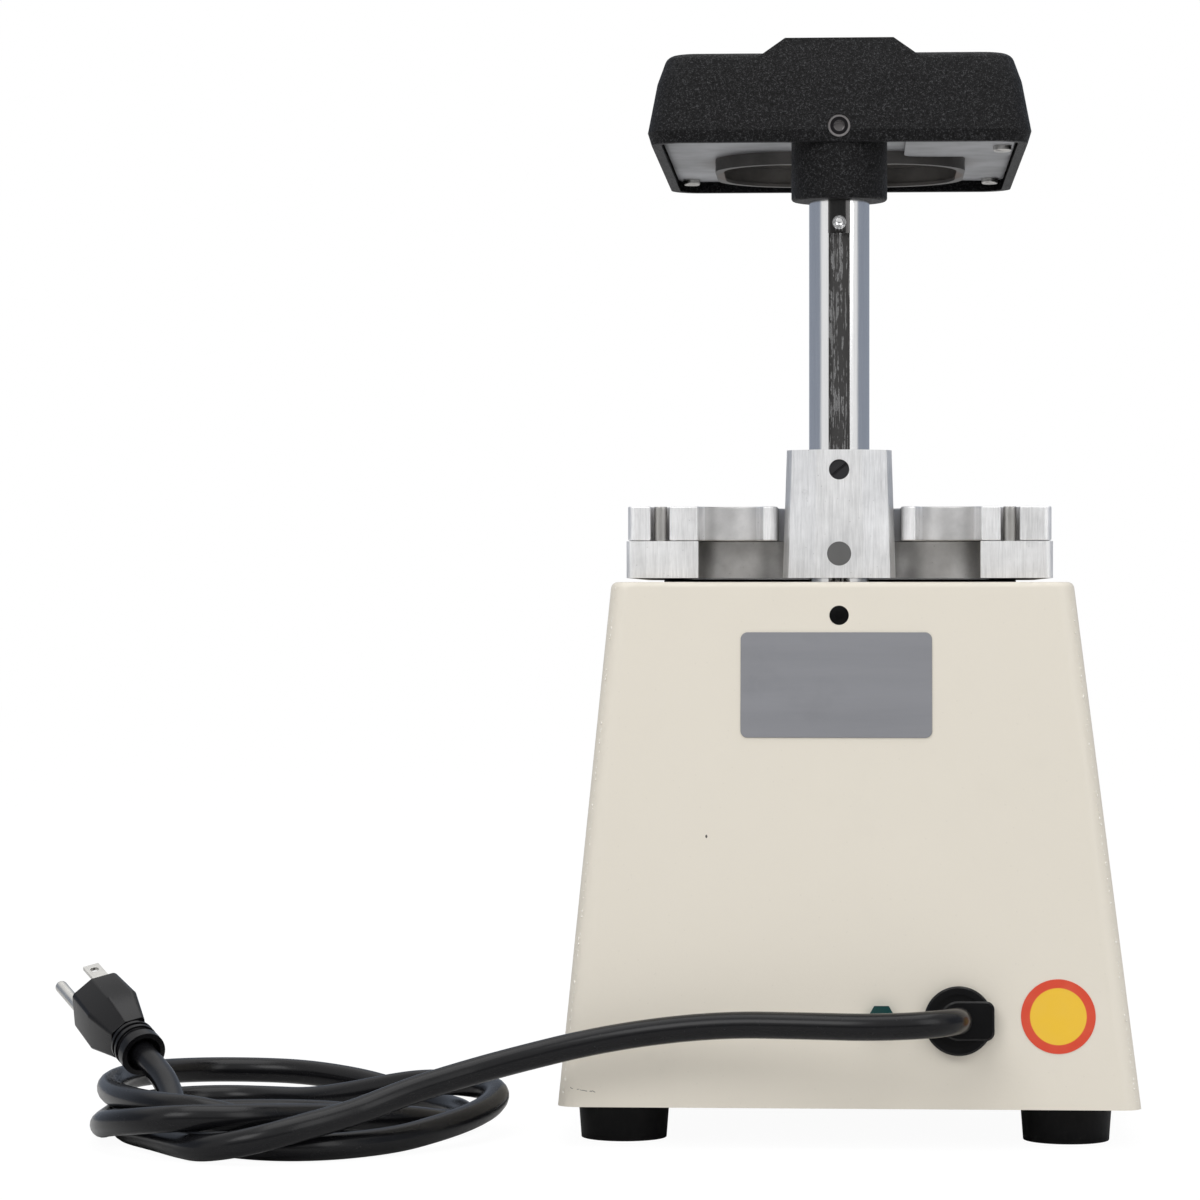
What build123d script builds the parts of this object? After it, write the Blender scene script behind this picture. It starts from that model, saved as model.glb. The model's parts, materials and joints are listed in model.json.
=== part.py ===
from build123d import *
import math
import os

# A post-type dental vacuum former. Millimetres, +Z up, switches towards -Y, post at the back (+Y).
# The origin is on the floor under the middle of the housing's bottom edge.

# Gaps between pieces
press_gap = 0.02
slide_gap = 0.05
loose_gap = 0.3

# Housing: a tapered sheet box, open below
floor_gap = 14.4
housing_height = 187.1
housing_bottom_width = 207.6
housing_bottom_depth = 262.0
housing_top_width = 166.5
housing_top_depth = 200.0
housing_top_shift_x = 2.4
housing_top_shift_y = 11.0
housing_corner_radius = 7.0
housing_edge_radius = 2.5
housing_wall = 2.5

# Bottom cover, its screws and the feet
cover_thickness = 2.0
cover_recess = 2.0
cover_block = 16.0
cover_screw_head_height = 2.0
cover_screw_radius = 1.9
cover_screw_head_radius = 3.6
vent_count = 8
vent_pitch = 9.0
vent_width = 4.0
vent_length = 52.0
foot_inset_x = 23.8
foot_shift_x = 1.5
foot_inset_y = 34.0
foot_top_radius = 16.75
foot_bottom_radius = 15.5
foot_screw_radius = 2.5
foot_screw_head_radius = 4.6
foot_screw_head_height = 3.0
foot_counterbore_depth = 8.0
foot_screw_reach = 6.0

# Post: a plated tube with a keyway down its back
post_x = 3.4
post_from_rear = 27.0
post_radius = 11.0
post_bore_radius = 5.5
post_bottom_z = 160.0
post_top_z = 388.0
keyway_width = 7.7
keyway_depth = 3.0
keyway_top_z = 328.3

# Socket that carries the post under the housing's top
socket_radius = 20.0
socket_height = 41.0
socket_flange_width = 64.0
socket_flange_depth = 44.0
socket_flange_thickness = 5.0
socket_screw_x = 25.0
socket_screw_y = 14.0
socket_screw_radius = 2.4
socket_screw_head_radius = 4.4
socket_set_screw_z = 189.5
set_screw_radius = 3.5
set_screw_length = 8.0
set_screw_hex = 4.0
set_screw_hex_depth = 3.0

# Forming plate and what seals round it
form_y = -20.0
plate_size = 118.0
plate_corner_radius = 6.0
plate_fit = 0.2
plate_hole_radius = 1.5
plate_hole_pitch = 9.5
plate_hole_count = 11
gasket_inner = 119.5
gasket_outer = 132.0
gasket_thickness = 1.3

# Vacuum chamber under the plate
chamber_flange_width = 148.0
chamber_flange_depth = 132.0
chamber_flange_thickness = 2.5
chamber_inner = 108.0
chamber_depth = 10.0
chamber_wall = 2.0
chamber_outlet_radius = 22.0
seal_inner_radius = 24.0
seal_outer_radius = 33.0
seal_thickness = 3.0

# Fan and motor, on a plate hung from the housing's top by four long screws
fan_can_radius = 64.0
fan_can_height = 42.0
fan_can_wall = 1.2
fan_outlet_width = 14.0
fan_outlet_height = 8.0
fan_outlet_count = 10
motor_plate_size = 138.0
motor_plate_thickness = 3.0
motor_screw_x = 64.0
motor_screw_y = 58.0
motor_screw_radius = 2.5
motor_nut_radius = 4.6
motor_nut_height = 4.0
motor_radius = 42.0
motor_height = 76.0
motor_wall = 2.5
motor_vent_width = 12.0
motor_vent_height = 26.0
motor_vent_count = 6
field_inner_radius = 23.0
field_height = 44.0
field_base = 24.0
bearing_outer_radius = 11.0
bearing_width = 7.0
bearing_seat_wall = 3.0
shaft_radius = 4.0
armature_radius = 21.0
armature_height = 44.0
armature_slots = 12
commutator_radius = 12.0
commutator_height = 13.0
commutator_base = 8.0
brush_width = 6.0
brush_height = 8.0
brush_holder_length = 26.0
brush_holder_wall = 1.5
carbon_length = 14.0
impeller_radius = 58.0
impeller_height = 20.0
impeller_disc = 1.5
impeller_hub_radius = 10.0
impeller_eye_radius = 24.0
impeller_blades = 8
impeller_blade_thickness = 1.5

# Lower frame: the carriage that slides on the post
frame_width = 154.8
frame_front_reach = 70.0
frame_rear_reach = 12.0
frame_opening = 112.0
frame_opening_radius = 10.0
frame_corner_radius = 9.0
lower_frame_bottom_z = 203.0
lower_frame_thickness = 13.4
frame_gap = 0.2
ear_inner_x = 51.2
recess_front_reach = 10.0
recess_radius = 11.0
recess_inner_x = 16.0
hub_bottom_width = 41.0
hub_top_width = 38.0
hub_height = 46.4
carriage_travel = 90.0
plunger_z = 242.2
plunger_radius = 3.65
plunger_length = 6.8
plunger_slot_width = 1.0
plunger_slot_depth = 1.4
ball_radius = 2.0
ball_stand_out = 1.6
ball_travel = 1.8
spring_wire_radius = 0.25
spring_radius = 1.4
spring_coils = 5
key_pin_z = 211.8
key_pin_radius = 4.35
key_tip_radius = 3.7
key_tip_gap = 0.3
stud_x = 63.5
stud_over = 1.6
stud_reach = 6.0
stud_radius = 2.4
stud_depth = 9.0

# Upper frame: tips up at the front on its back edge
upper_frame_width = 153.7
upper_frame_thickness = 12.4
hub_notch_half_width = 22.4
hub_notch_reach = 31.0
hub_notch_corner_radius = 10.0
lobe_radius = 5.5
scallop_x = 39.5
scallop_radius = 12.5
scallop_depth = 9.0
stud_slot_width = 6.9
stud_slot_depth = 14.0
tongue_width = 30.0
tongue_corner_radius = 5.0
upper_tongue_length = 16.0
upper_tongue_thickness = 5.4

# Thumb screw that clamps the frames at the front, and the ball knob that lifts them
lower_tongue_length = 17.5
thumb_reach = 9.0
thumb_shank_radius = 3.0
thumb_tip_z = 208.0
thumb_swing_gap = 0.35
thumb_knob_radius = 8.0
thumb_knob_height = 9.6
thumb_flute_count = 20
thumb_flute_radius = 0.8
knob_radius = 12.0
knob_reach = 28.5
knob_stud_radius = 3.0
knob_stud_inner_reach = 13.0
knob_stud_outer_reach = 26.5

# Heater head
head_bottom_z = 360.8
head_waist_rise = 4.3
head_shoulder_rise = 22.4
head_height = 33.1
head_rear_overhang = 18.0
head_depth = 201.0
head_bottom_width = 136.8
head_waist_width = 139.4
head_shoulder_width = 132.8
head_top_width = 125.5
head_top_depth_loss = 12.0
head_corner_radius = 12.0
head_edge_radius = 4.0
head_wall = 3.5
collar_radius = 17.5
collar_bottom_z = 340.6
head_boss_height = 5.5
head_boss_top_radius = 19.7
head_boss_base_radius = 35.2
head_boss_sink = 5.9
head_rear_lean = 0.336
head_set_screw_z = 366.7
head_set_screw_radius = 4.2
head_set_screw_recess = 1.2
wire_exit_z = 374.0
wire_exit_radius = 4.6
reflector_width = 130.6
reflector_rear_gap = 5.0
reflector_front_gap = 7.0
reflector_z = 364.8
reflector_thickness = 1.0
reflector_notch = 20.0
pillar_radius = 4.5
pillar_x = 60.0
pillar_front_inset = 9.0
pillar_rear_inset = 31.0
reflector_screw_radius = 1.9
reflector_screw_head_radius = 3.4
reflector_screw_head_height = 2.3
reflector_screw_length = 9.0
ring_size = 96.0
ring_corner_radius = 32.0
ring_rim_z = 360.0
ring_height = 12.0
ring_wall = 1.2
ring_lip_width = 2.0
ring_lip_thickness = 1.2
ring_flange = 5.0
ceramic_rise = 8.6
ceramic_thickness = 9.0
ceramic_gap = 0.4
groove_depth = 5.0
element_radius = 2.0
element_rows = 6
element_pitch = 12.0
element_span = 56.0
terminal_cover_inner_x = 24.3
terminal_cover_width = 39.8
terminal_cover_rear_gap = 6.0
terminal_cover_corner_radius = 7.0
terminal_cover_reach = 57.0
terminal_cover_thickness = 0.8
terminal_cover_gap = 1.4
terminal_x = 44.0
terminal_reach = 32.0
terminal_radius = 2.0
terminal_block_width = 30.0
terminal_block_depth = 14.0
terminal_block_height = 10.0

# Leads inside the post
lead_radius = 2.4
lead_first_z = 70.0
lead_second_z = 115.0
lead_bend_radius = 7.0

# Front panel and its two rocker switches
panel_width = 130.0
panel_height = 56.0
panel_thickness = 1.5
panel_z = 108.0
switch_x = 30.0
switch_bezel_width = 25.0
switch_bezel_height = 32.0
switch_bezel_thickness = 2.0
switch_body_width = 21.5
switch_body_height = 28.5
switch_body_depth = 24.0
switch_tab_pitch = 8.0
switch_tab_length = 8.0
switch_pocket_depth = 14.0
rocker_width = 16.0
rocker_height = 24.0
rocker_gap = 0.4
rocker_pivot_depth = 1.0
rocker_pin_radius = 1.4
rocker_keel = 4.0
rocker_angle = 12.0

# Back of the housing
label_z = 164.5
label_x = 4.4
label_width = 68.6
label_height = 38.0
label_thickness = 0.5
label_corner_radius = 2.5
sticker_x = -74.3
sticker_z = 47.2
sticker_radius = 13.2
sticker_thickness = 0.2
ground_x = -11.7
ground_z = 46.1
ground_screw_radius = 2.0
ground_screw_length = 12.0
ground_hex_radius = 5.2
ground_nut_height = 3.0
ground_tag_length = 22.0
ground_tag_width = 9.0
ground_tag_thickness = 0.8
ground_hex_height = 3.4
relief_x = -39.0
relief_z = 45.4
relief_head_radius = 12.3
relief_head_height = 6.0
relief_ring_height = 4.6
relief_ring_bore = 9.4
relief_floor = 2.4
relief_key_width = 14.0
relief_key_reach = 12.6
relief_key_radius = 3.0
relief_chamfer = 0.7
relief_barrel_radius = 10.8
relief_barrel_length = 12.0

# Terminal block inside, and the wiring to it
block_x = 52.0
block_reach = 8.0
block_width = 48.0
block_depth = 22.0
block_height = 16.0
block_ways = 4
block_screw_radius = 3.0
lead_clear = 14.0
lead_slack_x = 24.0
lead_slack_y = 12.0
lead_run_in = 22.0
wiring_radius = 1.8
wiring_turn = 16.0

# Power cord. Its route leaves the strain relief, hangs along the back and meets the coil.
cord_radius = 4.75
cord_exit_length = 9.5
cord_route = [
    (-32.5, 149.5, 46.6),
    (-19.0, 151.5, 45.9),
    (8.0, 149.8, 46.4),
    (46.0, 146.0, 46.0),
    (85.0, 144.3, 40.6),
    (122.0, 147.5, 31.6),
    (150.0, 158.5, 23.8),
    (176.0, 171.0, 15.5),
    (196.0, 177.0, 9.0),
]
coil_x = 203.0
coil_y = 89.0
coil_half_width = 77.0
coil_half_depth = 103.0
coil_band = 27.0
coil_height = 16.5
tail_route = [
    (246.0, 122.0, 9.0),
    (247.5, 106.0, 10.5),
    (249.5, 92.0, 14.0),
    (252.5, 79.0, 18.0),
]
tail_last_run = 18.0
plug_direction = (0.52, -0.77, 0.37)
plug_place = (263.4, 60.3, 24.9)
plug_collar_radius = 8.7
plug_collar_bore = 6.6
plug_collar_depth = 6.0
plug_neck_radius = 7.7
plug_neck_length = 12.0
plug_ribs = 2
plug_rib_width = 1.4
plug_rib_pitch = 2.9
plug_body_length = 31.0
plug_body_width = 25.0
plug_body_thickness = 23.0
blade_width = 6.35
blade_thickness = 1.5
blade_length = 17.5
blade_hole_radius = 1.6
blade_hole_inset = 4.0
blade_spacing = 12.7
ground_pin_radius = 2.38
ground_pin_length = 20.6
ground_pin_offset = 11.9

# Worked out from the sizes above
foot_x = housing_bottom_width / 2 - foot_inset_x
foot_y = housing_bottom_depth / 2 - foot_inset_y
post_y = housing_top_shift_y + housing_top_depth / 2 - post_from_rear
frame_front_y = form_y - frame_front_reach
frame_rear_y = post_y + frame_rear_reach
recess_front_y = post_y - recess_front_reach
stud_y = post_y + stud_reach
hub_notch_front_y = post_y - hub_notch_reach
thumb_axis_y = frame_front_y - thumb_reach
knob_y = frame_front_y - knob_reach
knob_stud_inner_y = frame_front_y - knob_stud_inner_reach
knob_stud_outer_y = frame_front_y - knob_stud_outer_reach
terminal_cover_front_y = post_y - terminal_cover_reach
terminal_y = post_y - terminal_reach
block_y = post_y - block_reach
housing_top_z = floor_gap + housing_height
deck_z = housing_top_z - housing_wall
cover_top_z = floor_gap + cover_recess + cover_thickness
cover_bottom_z = floor_gap + cover_recess
upper_frame_bottom_z = lower_frame_bottom_z + lower_frame_thickness + frame_gap
upper_frame_top_z = upper_frame_bottom_z + upper_frame_thickness
hub_back = hub_bottom_width / 2 * 0.93
chamber_bottom_z = deck_z - chamber_flange_thickness - chamber_depth
fan_top_z = chamber_bottom_z - seal_thickness
motor_plate_top_z = fan_top_z - fan_can_height
motor_top_z = motor_plate_top_z - motor_plate_thickness
motor_bottom_z = motor_top_z - motor_height
knob_z = lower_frame_bottom_z + lower_frame_thickness / 2
head_rear_y = post_y + head_rear_overhang
head_mid_y = head_rear_y - head_depth / 2
head_top_z = head_bottom_z + head_height
reflector_rear_y = head_rear_y - reflector_rear_gap
reflector_front_y = head_rear_y - head_depth + reflector_front_gap
pillar_front_y = reflector_front_y + pillar_front_inset
pillar_rear_y = reflector_rear_y - pillar_rear_inset
ceramic_z = ring_rim_z + ceramic_rise


def blend(low, high, z):
    # value at height z of a size that changes evenly over the housing's height
    return low + (high - low) * (z - floor_gap) / housing_height


def rear_wall_y(z):
    return blend(housing_bottom_depth / 2, housing_top_shift_y + housing_top_depth / 2, z)


def front_wall_y(z):
    return blend(-housing_bottom_depth / 2, housing_top_shift_y - housing_top_depth / 2, z)


def rear_plane(x, z):
    # flat on the back wall: local X runs to -X, local Y up the wall, local Z out of it
    lean = math.atan2(rear_wall_y(floor_gap) - rear_wall_y(housing_top_z), housing_height)
    return Plane(origin=(x, rear_wall_y(z), z), x_dir=(-1, 0, 0), z_dir=(0, math.cos(lean), math.sin(lean)))


def front_plane(x, z):
    # flat on the front wall: local X runs to +X, local Y up the wall, local Z out of it
    lean = math.atan2(front_wall_y(housing_top_z) - front_wall_y(floor_gap), housing_height)
    return Plane(origin=(x, front_wall_y(z), z), x_dir=(1, 0, 0), z_dir=(0, -math.cos(lean), math.sin(lean)))


def housing_section(inset, z):
    width = blend(housing_bottom_width, housing_top_width, z) - 2 * inset
    depth = blend(housing_bottom_depth, housing_top_depth, z) - 2 * inset
    shift = Pos(blend(0, housing_top_shift_x, z), blend(0, housing_top_shift_y, z), z)
    return shift * RectangleRounded(width, depth, housing_corner_radius - inset)


def housing_block(inset, low, high):
    return loft([housing_section(inset, low), housing_section(inset, high)])


def tube(outer, inner, height, z):
    ring = Cylinder(outer, height, align=(Align.CENTER, Align.CENTER, Align.MIN))
    ring -= Cylinder(inner, height, align=(Align.CENTER, Align.CENTER, Align.MIN))
    return Pos(0, 0, z) * ring


def rod(radius, low, high):
    return Pos(0, 0, low) * Cylinder(radius, high - low, align=(Align.CENTER, Align.CENTER, Align.MIN))


def slab(width, depth, radius, low, high):
    return Pos(0, 0, low) * extrude(RectangleRounded(width, depth, radius), high - low)


def rod_y(radius, low, high):
    # a round bar along Y, from one y to another, centred on x = z = 0
    return Pos(0, low, 0) * Rot(-90, 0, 0) * Cylinder(
        radius, high - low, align=(Align.CENTER, Align.CENTER, Align.MIN)
    )


def rod_x(radius, length):
    return Rot(0, 90, 0) * Cylinder(radius, length)


def corners(x, y):
    return [(x, y), (-x, y), (-x, -y), (x, -y)]


def group(shapes):
    return Compound(children=list(shapes))


def screw(shank_radius, head_radius, head_height, length, socket=0.0):
    # pan head below, shank up: the head's top face is at z = 0
    body = rod(shank_radius, 0, length) + rod(head_radius, -head_height, 0)
    edge = body.edges().group_by(Axis.Z)[0]
    body = fillet(edge, head_height * 0.4)
    if socket:
        cross = Box(socket * 2, socket * 0.5, head_height) + Box(socket * 0.5, socket * 2, head_height)
        body -= Pos(0, 0, -head_height) * cross
    return body


# Housing and what stands it up

def cover_screw_places():
    x = housing_bottom_width / 2 - housing_wall - cover_block * 0.62
    y = housing_bottom_depth / 2 - housing_wall - cover_block * 0.62
    return corners(x, y)


def make_housing():
    body = housing_block(0, floor_gap, housing_top_z)
    body = fillet(body.edges().group_by(Axis.Z)[-1], housing_edge_radius)
    body -= housing_block(housing_wall, floor_gap - housing_wall, deck_z)
    shell = housing_block(housing_wall / 2, floor_gap, deck_z + housing_wall / 2)
    for x, y in cover_screw_places():
        block = Pos(x, y, cover_top_z) * Box(
            cover_block * 1.6, cover_block * 1.6, cover_block * 0.6,
            align=(Align.CENTER, Align.CENTER, Align.MIN),
        )
        block &= shell
        block -= Pos(x, y, 0) * rod(cover_screw_radius + press_gap, cover_top_z, cover_top_z + cover_block)
        body += block
    body -= Pos(post_x, form_y, 0) * slab(
        plate_size + 2 * plate_fit, plate_size + 2 * plate_fit, plate_corner_radius,
        deck_z - 1, housing_top_z + 1,
    )
    body -= Pos(post_x, post_y, 0) * rod(post_radius + loose_gap, deck_z - 1, housing_top_z + 1)
    for x, y in corners(socket_screw_x, socket_screw_y):
        body -= Pos(post_x + x, post_y + y, 0) * countersink(press_gap)
    access = rod_y(set_screw_radius, post_y + socket_radius, rear_wall_y(0))
    body -= Pos(post_x, 0, socket_set_screw_z) * access
    body -= rear_plane(relief_x, relief_z) * Cylinder(relief_barrel_radius, 4 * housing_wall)
    body -= rear_plane(ground_x, ground_z) * Cylinder(ground_screw_radius + press_gap, 4 * housing_wall)
    for side in (-1, 1):
        body -= front_plane(side * switch_x, panel_z) * Box(
            switch_body_width + 2 * loose_gap, switch_body_height + 2 * loose_gap, 6 * housing_wall
        )
    return body


def countersink(gap):
    cone_height = socket_screw_head_radius - socket_screw_radius
    head = Pos(0, 0, housing_top_z - cone_height) * Cone(
        socket_screw_radius + gap, socket_screw_head_radius + gap, cone_height,
        align=(Align.CENTER, Align.CENTER, Align.MIN),
    )
    return head + rod(socket_screw_radius + gap, deck_z - socket_flange_thickness, housing_top_z)


def foot_places():
    return [(x + foot_shift_x, y) for x, y in corners(foot_x, foot_y)]


def make_cover():
    outline = housing_section(housing_wall + loose_gap, cover_top_z)
    plate = Pos(0, 0, -cover_thickness) * extrude(outline, cover_thickness)
    for x, y in cover_screw_places():
        plate -= Pos(x, y, 0) * rod(cover_screw_radius + press_gap, cover_bottom_z, cover_top_z)
    for x, y in foot_places():
        plate -= Pos(x, y, 0) * rod(foot_screw_radius + press_gap, cover_bottom_z, cover_top_z)
    for index in range(vent_count):
        x = (index - (vent_count - 1) / 2) * vent_pitch
        plate -= Pos(x, form_y, cover_bottom_z) * extrude(
            SlotOverall(vent_length, vent_width, rotation=90), cover_thickness
        )
    return plate


def make_cover_screws():
    length = cover_thickness + cover_block * 0.5
    drive = cover_screw_radius * 0.63
    one = screw(cover_screw_radius, cover_screw_head_radius, cover_screw_head_height, length, drive)
    return group(Pos(x, y, cover_bottom_z) * one for x, y in cover_screw_places())


def make_feet():
    upright = (Align.CENTER, Align.CENTER, Align.MIN)
    foot = Cone(foot_bottom_radius, foot_top_radius, cover_bottom_z, align=upright)
    foot -= rod(foot_screw_head_radius + 1, 0, foot_counterbore_depth)
    foot -= rod(foot_screw_radius + press_gap, 0, cover_bottom_z)
    return group(Pos(x, y, 0) * foot for x, y in foot_places())


def make_foot_screws():
    length = cover_top_z + foot_screw_reach - foot_counterbore_depth
    one = screw(foot_screw_radius, foot_screw_head_radius, foot_screw_head_height, length, 1.6)
    return group(Pos(x, y, foot_counterbore_depth) * one for x, y in foot_places())


# Post and its socket

def make_post():
    body = rod(post_radius, post_bottom_z, post_top_z) - rod(post_bore_radius, post_bottom_z, post_top_z)
    keyway = Box(keyway_width, 2 * keyway_depth, keyway_top_z - post_bottom_z,
                 align=(Align.CENTER, Align.CENTER, Align.MIN))
    body -= Pos(0, post_radius, post_bottom_z) * keyway
    dimple_y = post_radius + ball_radius - ball_stand_out
    body -= Pos(0, dimple_y, plunger_z + carriage_travel) * Sphere(ball_radius + loose_gap)
    body -= Pos(0, 0, wire_exit_z) * Rot(0, -90, 0) * rod(wire_exit_radius, 0, 2 * post_radius)
    return Pos(post_x, post_y, 0) * body


def make_socket():
    body = rod(socket_radius, deck_z - socket_height, deck_z)
    body += slab(socket_flange_width, socket_flange_depth, 4, deck_z - socket_flange_thickness, deck_z)
    body -= rod(post_radius + press_gap, deck_z - socket_height, deck_z)
    body -= Pos(0, 0, socket_set_screw_z) * rod_y(set_screw_radius + press_gap, 0, socket_radius)
    for x, y in corners(socket_screw_x, socket_screw_y):
        body -= Pos(x, y, 0) * rod(socket_screw_radius + press_gap, deck_z - socket_flange_thickness, deck_z)
    return Pos(post_x, post_y, 0) * body


def make_socket_screws():
    one = countersink(0)
    places = corners(socket_screw_x, socket_screw_y)
    return group(Pos(post_x + x, post_y + y, 0) * one for x, y in places)


def set_screw(radius, low, high):
    # socket set screw along Y, its hexagon in the end at y = high
    body = rod_y(radius, low, high)
    socket = extrude(RegularPolygon(set_screw_hex / 2, 6), set_screw_hex_depth)
    return body - Pos(0, high, 0) * Rot(90, 0, 0) * socket


def make_post_set_screw():
    start = post_radius - keyway_depth + press_gap
    one = set_screw(set_screw_radius, start, start + set_screw_length)
    return Pos(post_x, post_y, socket_set_screw_z) * one


# Forming plate, gasket, chamber

def make_forming_plate():
    plate = slab(plate_size, plate_size, plate_corner_radius, deck_z, housing_top_z)
    holes = GridLocations(plate_hole_pitch, plate_hole_pitch, plate_hole_count, plate_hole_count)
    pattern = Sketch() + [place * Circle(plate_hole_radius) for place in holes]
    plate -= Pos(0, 0, deck_z) * extrude(pattern, housing_wall)
    return Pos(post_x, form_y, 0) * plate


def make_gasket():
    ring = slab(gasket_outer, gasket_outer, 8, housing_top_z, housing_top_z + gasket_thickness)
    ring -= slab(gasket_inner, gasket_inner, 6, housing_top_z, housing_top_z + gasket_thickness)
    return Pos(post_x, form_y, 0) * ring


def make_chamber():
    size = chamber_inner + 2 * chamber_wall
    flange_low = deck_z - chamber_flange_thickness
    body = slab(chamber_flange_width, chamber_flange_depth, 8, flange_low, deck_z)
    body += slab(size, size, 10, chamber_bottom_z, flange_low)
    body -= slab(chamber_inner, chamber_inner, 8, chamber_bottom_z + chamber_wall, deck_z)
    body -= rod(chamber_outlet_radius, chamber_bottom_z, chamber_bottom_z + chamber_wall)
    for x, y in corners(motor_screw_x, motor_screw_y):
        body -= Pos(x, y, 0) * rod(motor_screw_radius + press_gap, flange_low, deck_z)
    return Pos(post_x, form_y, 0) * body


def make_seal():
    return Pos(post_x, form_y, 0) * tube(seal_outer_radius, seal_inner_radius, seal_thickness, fan_top_z)


# Fan and motor, about their own upright axis

def make_fan_can():
    body = rod(fan_can_radius, motor_plate_top_z, fan_top_z)
    body -= rod(fan_can_radius - fan_can_wall, motor_plate_top_z, fan_top_z - fan_can_wall)
    body -= rod(chamber_outlet_radius, fan_top_z - fan_can_wall, fan_top_z)
    for index in range(fan_outlet_count):
        opening = Pos(fan_can_radius, 0, motor_plate_top_z + fan_outlet_height) * Box(
            fan_can_radius * 0.2, fan_outlet_width, fan_outlet_height
        )
        body -= Rot(0, 0, index * 360 / fan_outlet_count) * opening
    return Pos(post_x, form_y, 0) * body


def make_motor_plate():
    body = slab(motor_plate_size, motor_plate_size, 8, motor_top_z, motor_plate_top_z)
    seat_low = motor_top_z - bearing_width
    body += rod(bearing_outer_radius + bearing_seat_wall, seat_low, motor_top_z)
    body -= rod(bearing_outer_radius + press_gap, seat_low, motor_top_z)
    body -= rod(shaft_radius + 2, motor_top_z, motor_plate_top_z)
    for x, y in corners(motor_screw_x, motor_screw_y):
        body -= Pos(x, y, 0) * rod(motor_screw_radius + press_gap, motor_top_z, motor_plate_top_z)
    return Pos(post_x, form_y, 0) * body


def make_motor_screws():
    # each screw is a stud from the deck with its nut under the motor plate
    stud = rod(motor_screw_radius, motor_top_z - 2 * motor_nut_height, deck_z)
    nut = extrude(RegularPolygon(motor_nut_radius, 6), motor_nut_height)
    nut -= rod(motor_screw_radius + press_gap, 0, motor_nut_height)
    nut = Pos(0, 0, motor_top_z - motor_nut_height) * nut
    places = corners(motor_screw_x, motor_screw_y)
    return group(Pos(post_x + x, form_y + y, 0) * piece for x, y in places for piece in (stud, nut))


def make_motor_frame():
    inner = motor_radius - motor_wall
    body = rod(motor_radius, motor_bottom_z, motor_top_z)
    body -= rod(inner, motor_bottom_z + motor_wall, motor_top_z)
    seat_high = motor_bottom_z + motor_wall + bearing_width
    body += rod(bearing_outer_radius + bearing_seat_wall, motor_bottom_z, seat_high)
    body -= rod(bearing_outer_radius + press_gap, motor_bottom_z + motor_wall, seat_high)
    body -= rod(shaft_radius + 2, motor_bottom_z, motor_bottom_z + motor_wall)
    for index in range(motor_vent_count):
        turn = Rot(0, 0, (index + 0.5) * 360 / motor_vent_count)
        z = motor_top_z - motor_vent_height * 0.75
        body -= turn * Pos(motor_radius, 0, z) * Box(motor_radius * 0.4, motor_vent_width, motor_vent_height)
    for side in (-1, 1):
        body -= Pos(side * motor_radius, 0, brush_centre_z()) * Box(
            motor_radius * 0.4,
            brush_width + 2 * brush_holder_wall + 2 * press_gap,
            brush_height + 2 * brush_holder_wall + 2 * press_gap,
        )
    return Pos(post_x, form_y, 0) * body


def commutator_low():
    return motor_bottom_z + motor_wall + commutator_base


def brush_centre_z():
    return commutator_low() + commutator_height / 2


def make_field():
    low = motor_bottom_z + field_base
    body = tube(motor_radius - motor_wall - press_gap, field_inner_radius, field_height, low)
    return Pos(post_x, form_y, 0) * body


def make_bearings():
    low = tube(bearing_outer_radius, shaft_radius + slide_gap, bearing_width, motor_bottom_z + motor_wall)
    high = tube(bearing_outer_radius, shaft_radius + slide_gap, bearing_width, motor_top_z - bearing_width)
    return group(Pos(post_x, form_y, 0) * ring for ring in (low, high))


def make_brushes():
    inner = commutator_radius + loose_gap
    outer = inner + 3
    pieces = []
    for side in (-1, 1):
        holder = Box(
            brush_holder_length, brush_width + 2 * brush_holder_wall, brush_height + 2 * brush_holder_wall
        )
        holder = Pos(outer + brush_holder_length / 2, 0, 0) * holder
        carbon = Pos(inner + carbon_length / 2, 0, 0) * Box(carbon_length, brush_width, brush_height)
        piece = Pos(0, 0, brush_centre_z()) * (holder + carbon)
        pieces.append(Pos(post_x, form_y, 0) * Rot(0, 0, 90 - 90 * side) * piece)
    return group(pieces)


def make_shaft():
    low = motor_bottom_z + motor_wall / 2
    high = fan_top_z - fan_can_height * 0.2
    return Pos(post_x, form_y, 0) * rod(shaft_radius, low, high)


def make_armature():
    low = motor_bottom_z + field_base + (field_height - armature_height) / 2
    body = tube(armature_radius, shaft_radius + press_gap, armature_height, low)
    for index in range(armature_slots):
        slot = Pos(armature_radius, 0, low + armature_height / 2) * Box(6, 1.6, armature_height)
        body -= Rot(0, 0, index * 360 / armature_slots) * slot
    return Pos(post_x, form_y, 0) * body


def make_commutator():
    body = tube(commutator_radius, shaft_radius + press_gap, commutator_height, commutator_low())
    return Pos(post_x, form_y, 0) * body


def make_impeller():
    low = motor_plate_top_z + fan_outlet_height * 1.5
    body = rod(impeller_radius, low, low + impeller_disc)
    body += rod(impeller_hub_radius, low, low + impeller_height)
    body += tube(impeller_radius, impeller_eye_radius, impeller_disc, low + impeller_height - impeller_disc)
    reach = impeller_radius - impeller_eye_radius + 4
    for index in range(impeller_blades):
        blade = Box(reach, impeller_blade_thickness, impeller_height - impeller_disc,
                    align=(Align.MAX, Align.CENTER, Align.MIN))
        blade = Pos(impeller_radius * 0.97, 0, low) * Rot(0, 0, 28) * blade
        body += Rot(0, 0, index * 360 / impeller_blades) * blade
    body &= rod(impeller_radius, low, low + impeller_height)
    body -= rod(shaft_radius + press_gap, low, low + impeller_height)
    return Pos(post_x, form_y, 0) * body


# Lower frame, with the hub that slides on the post

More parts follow.
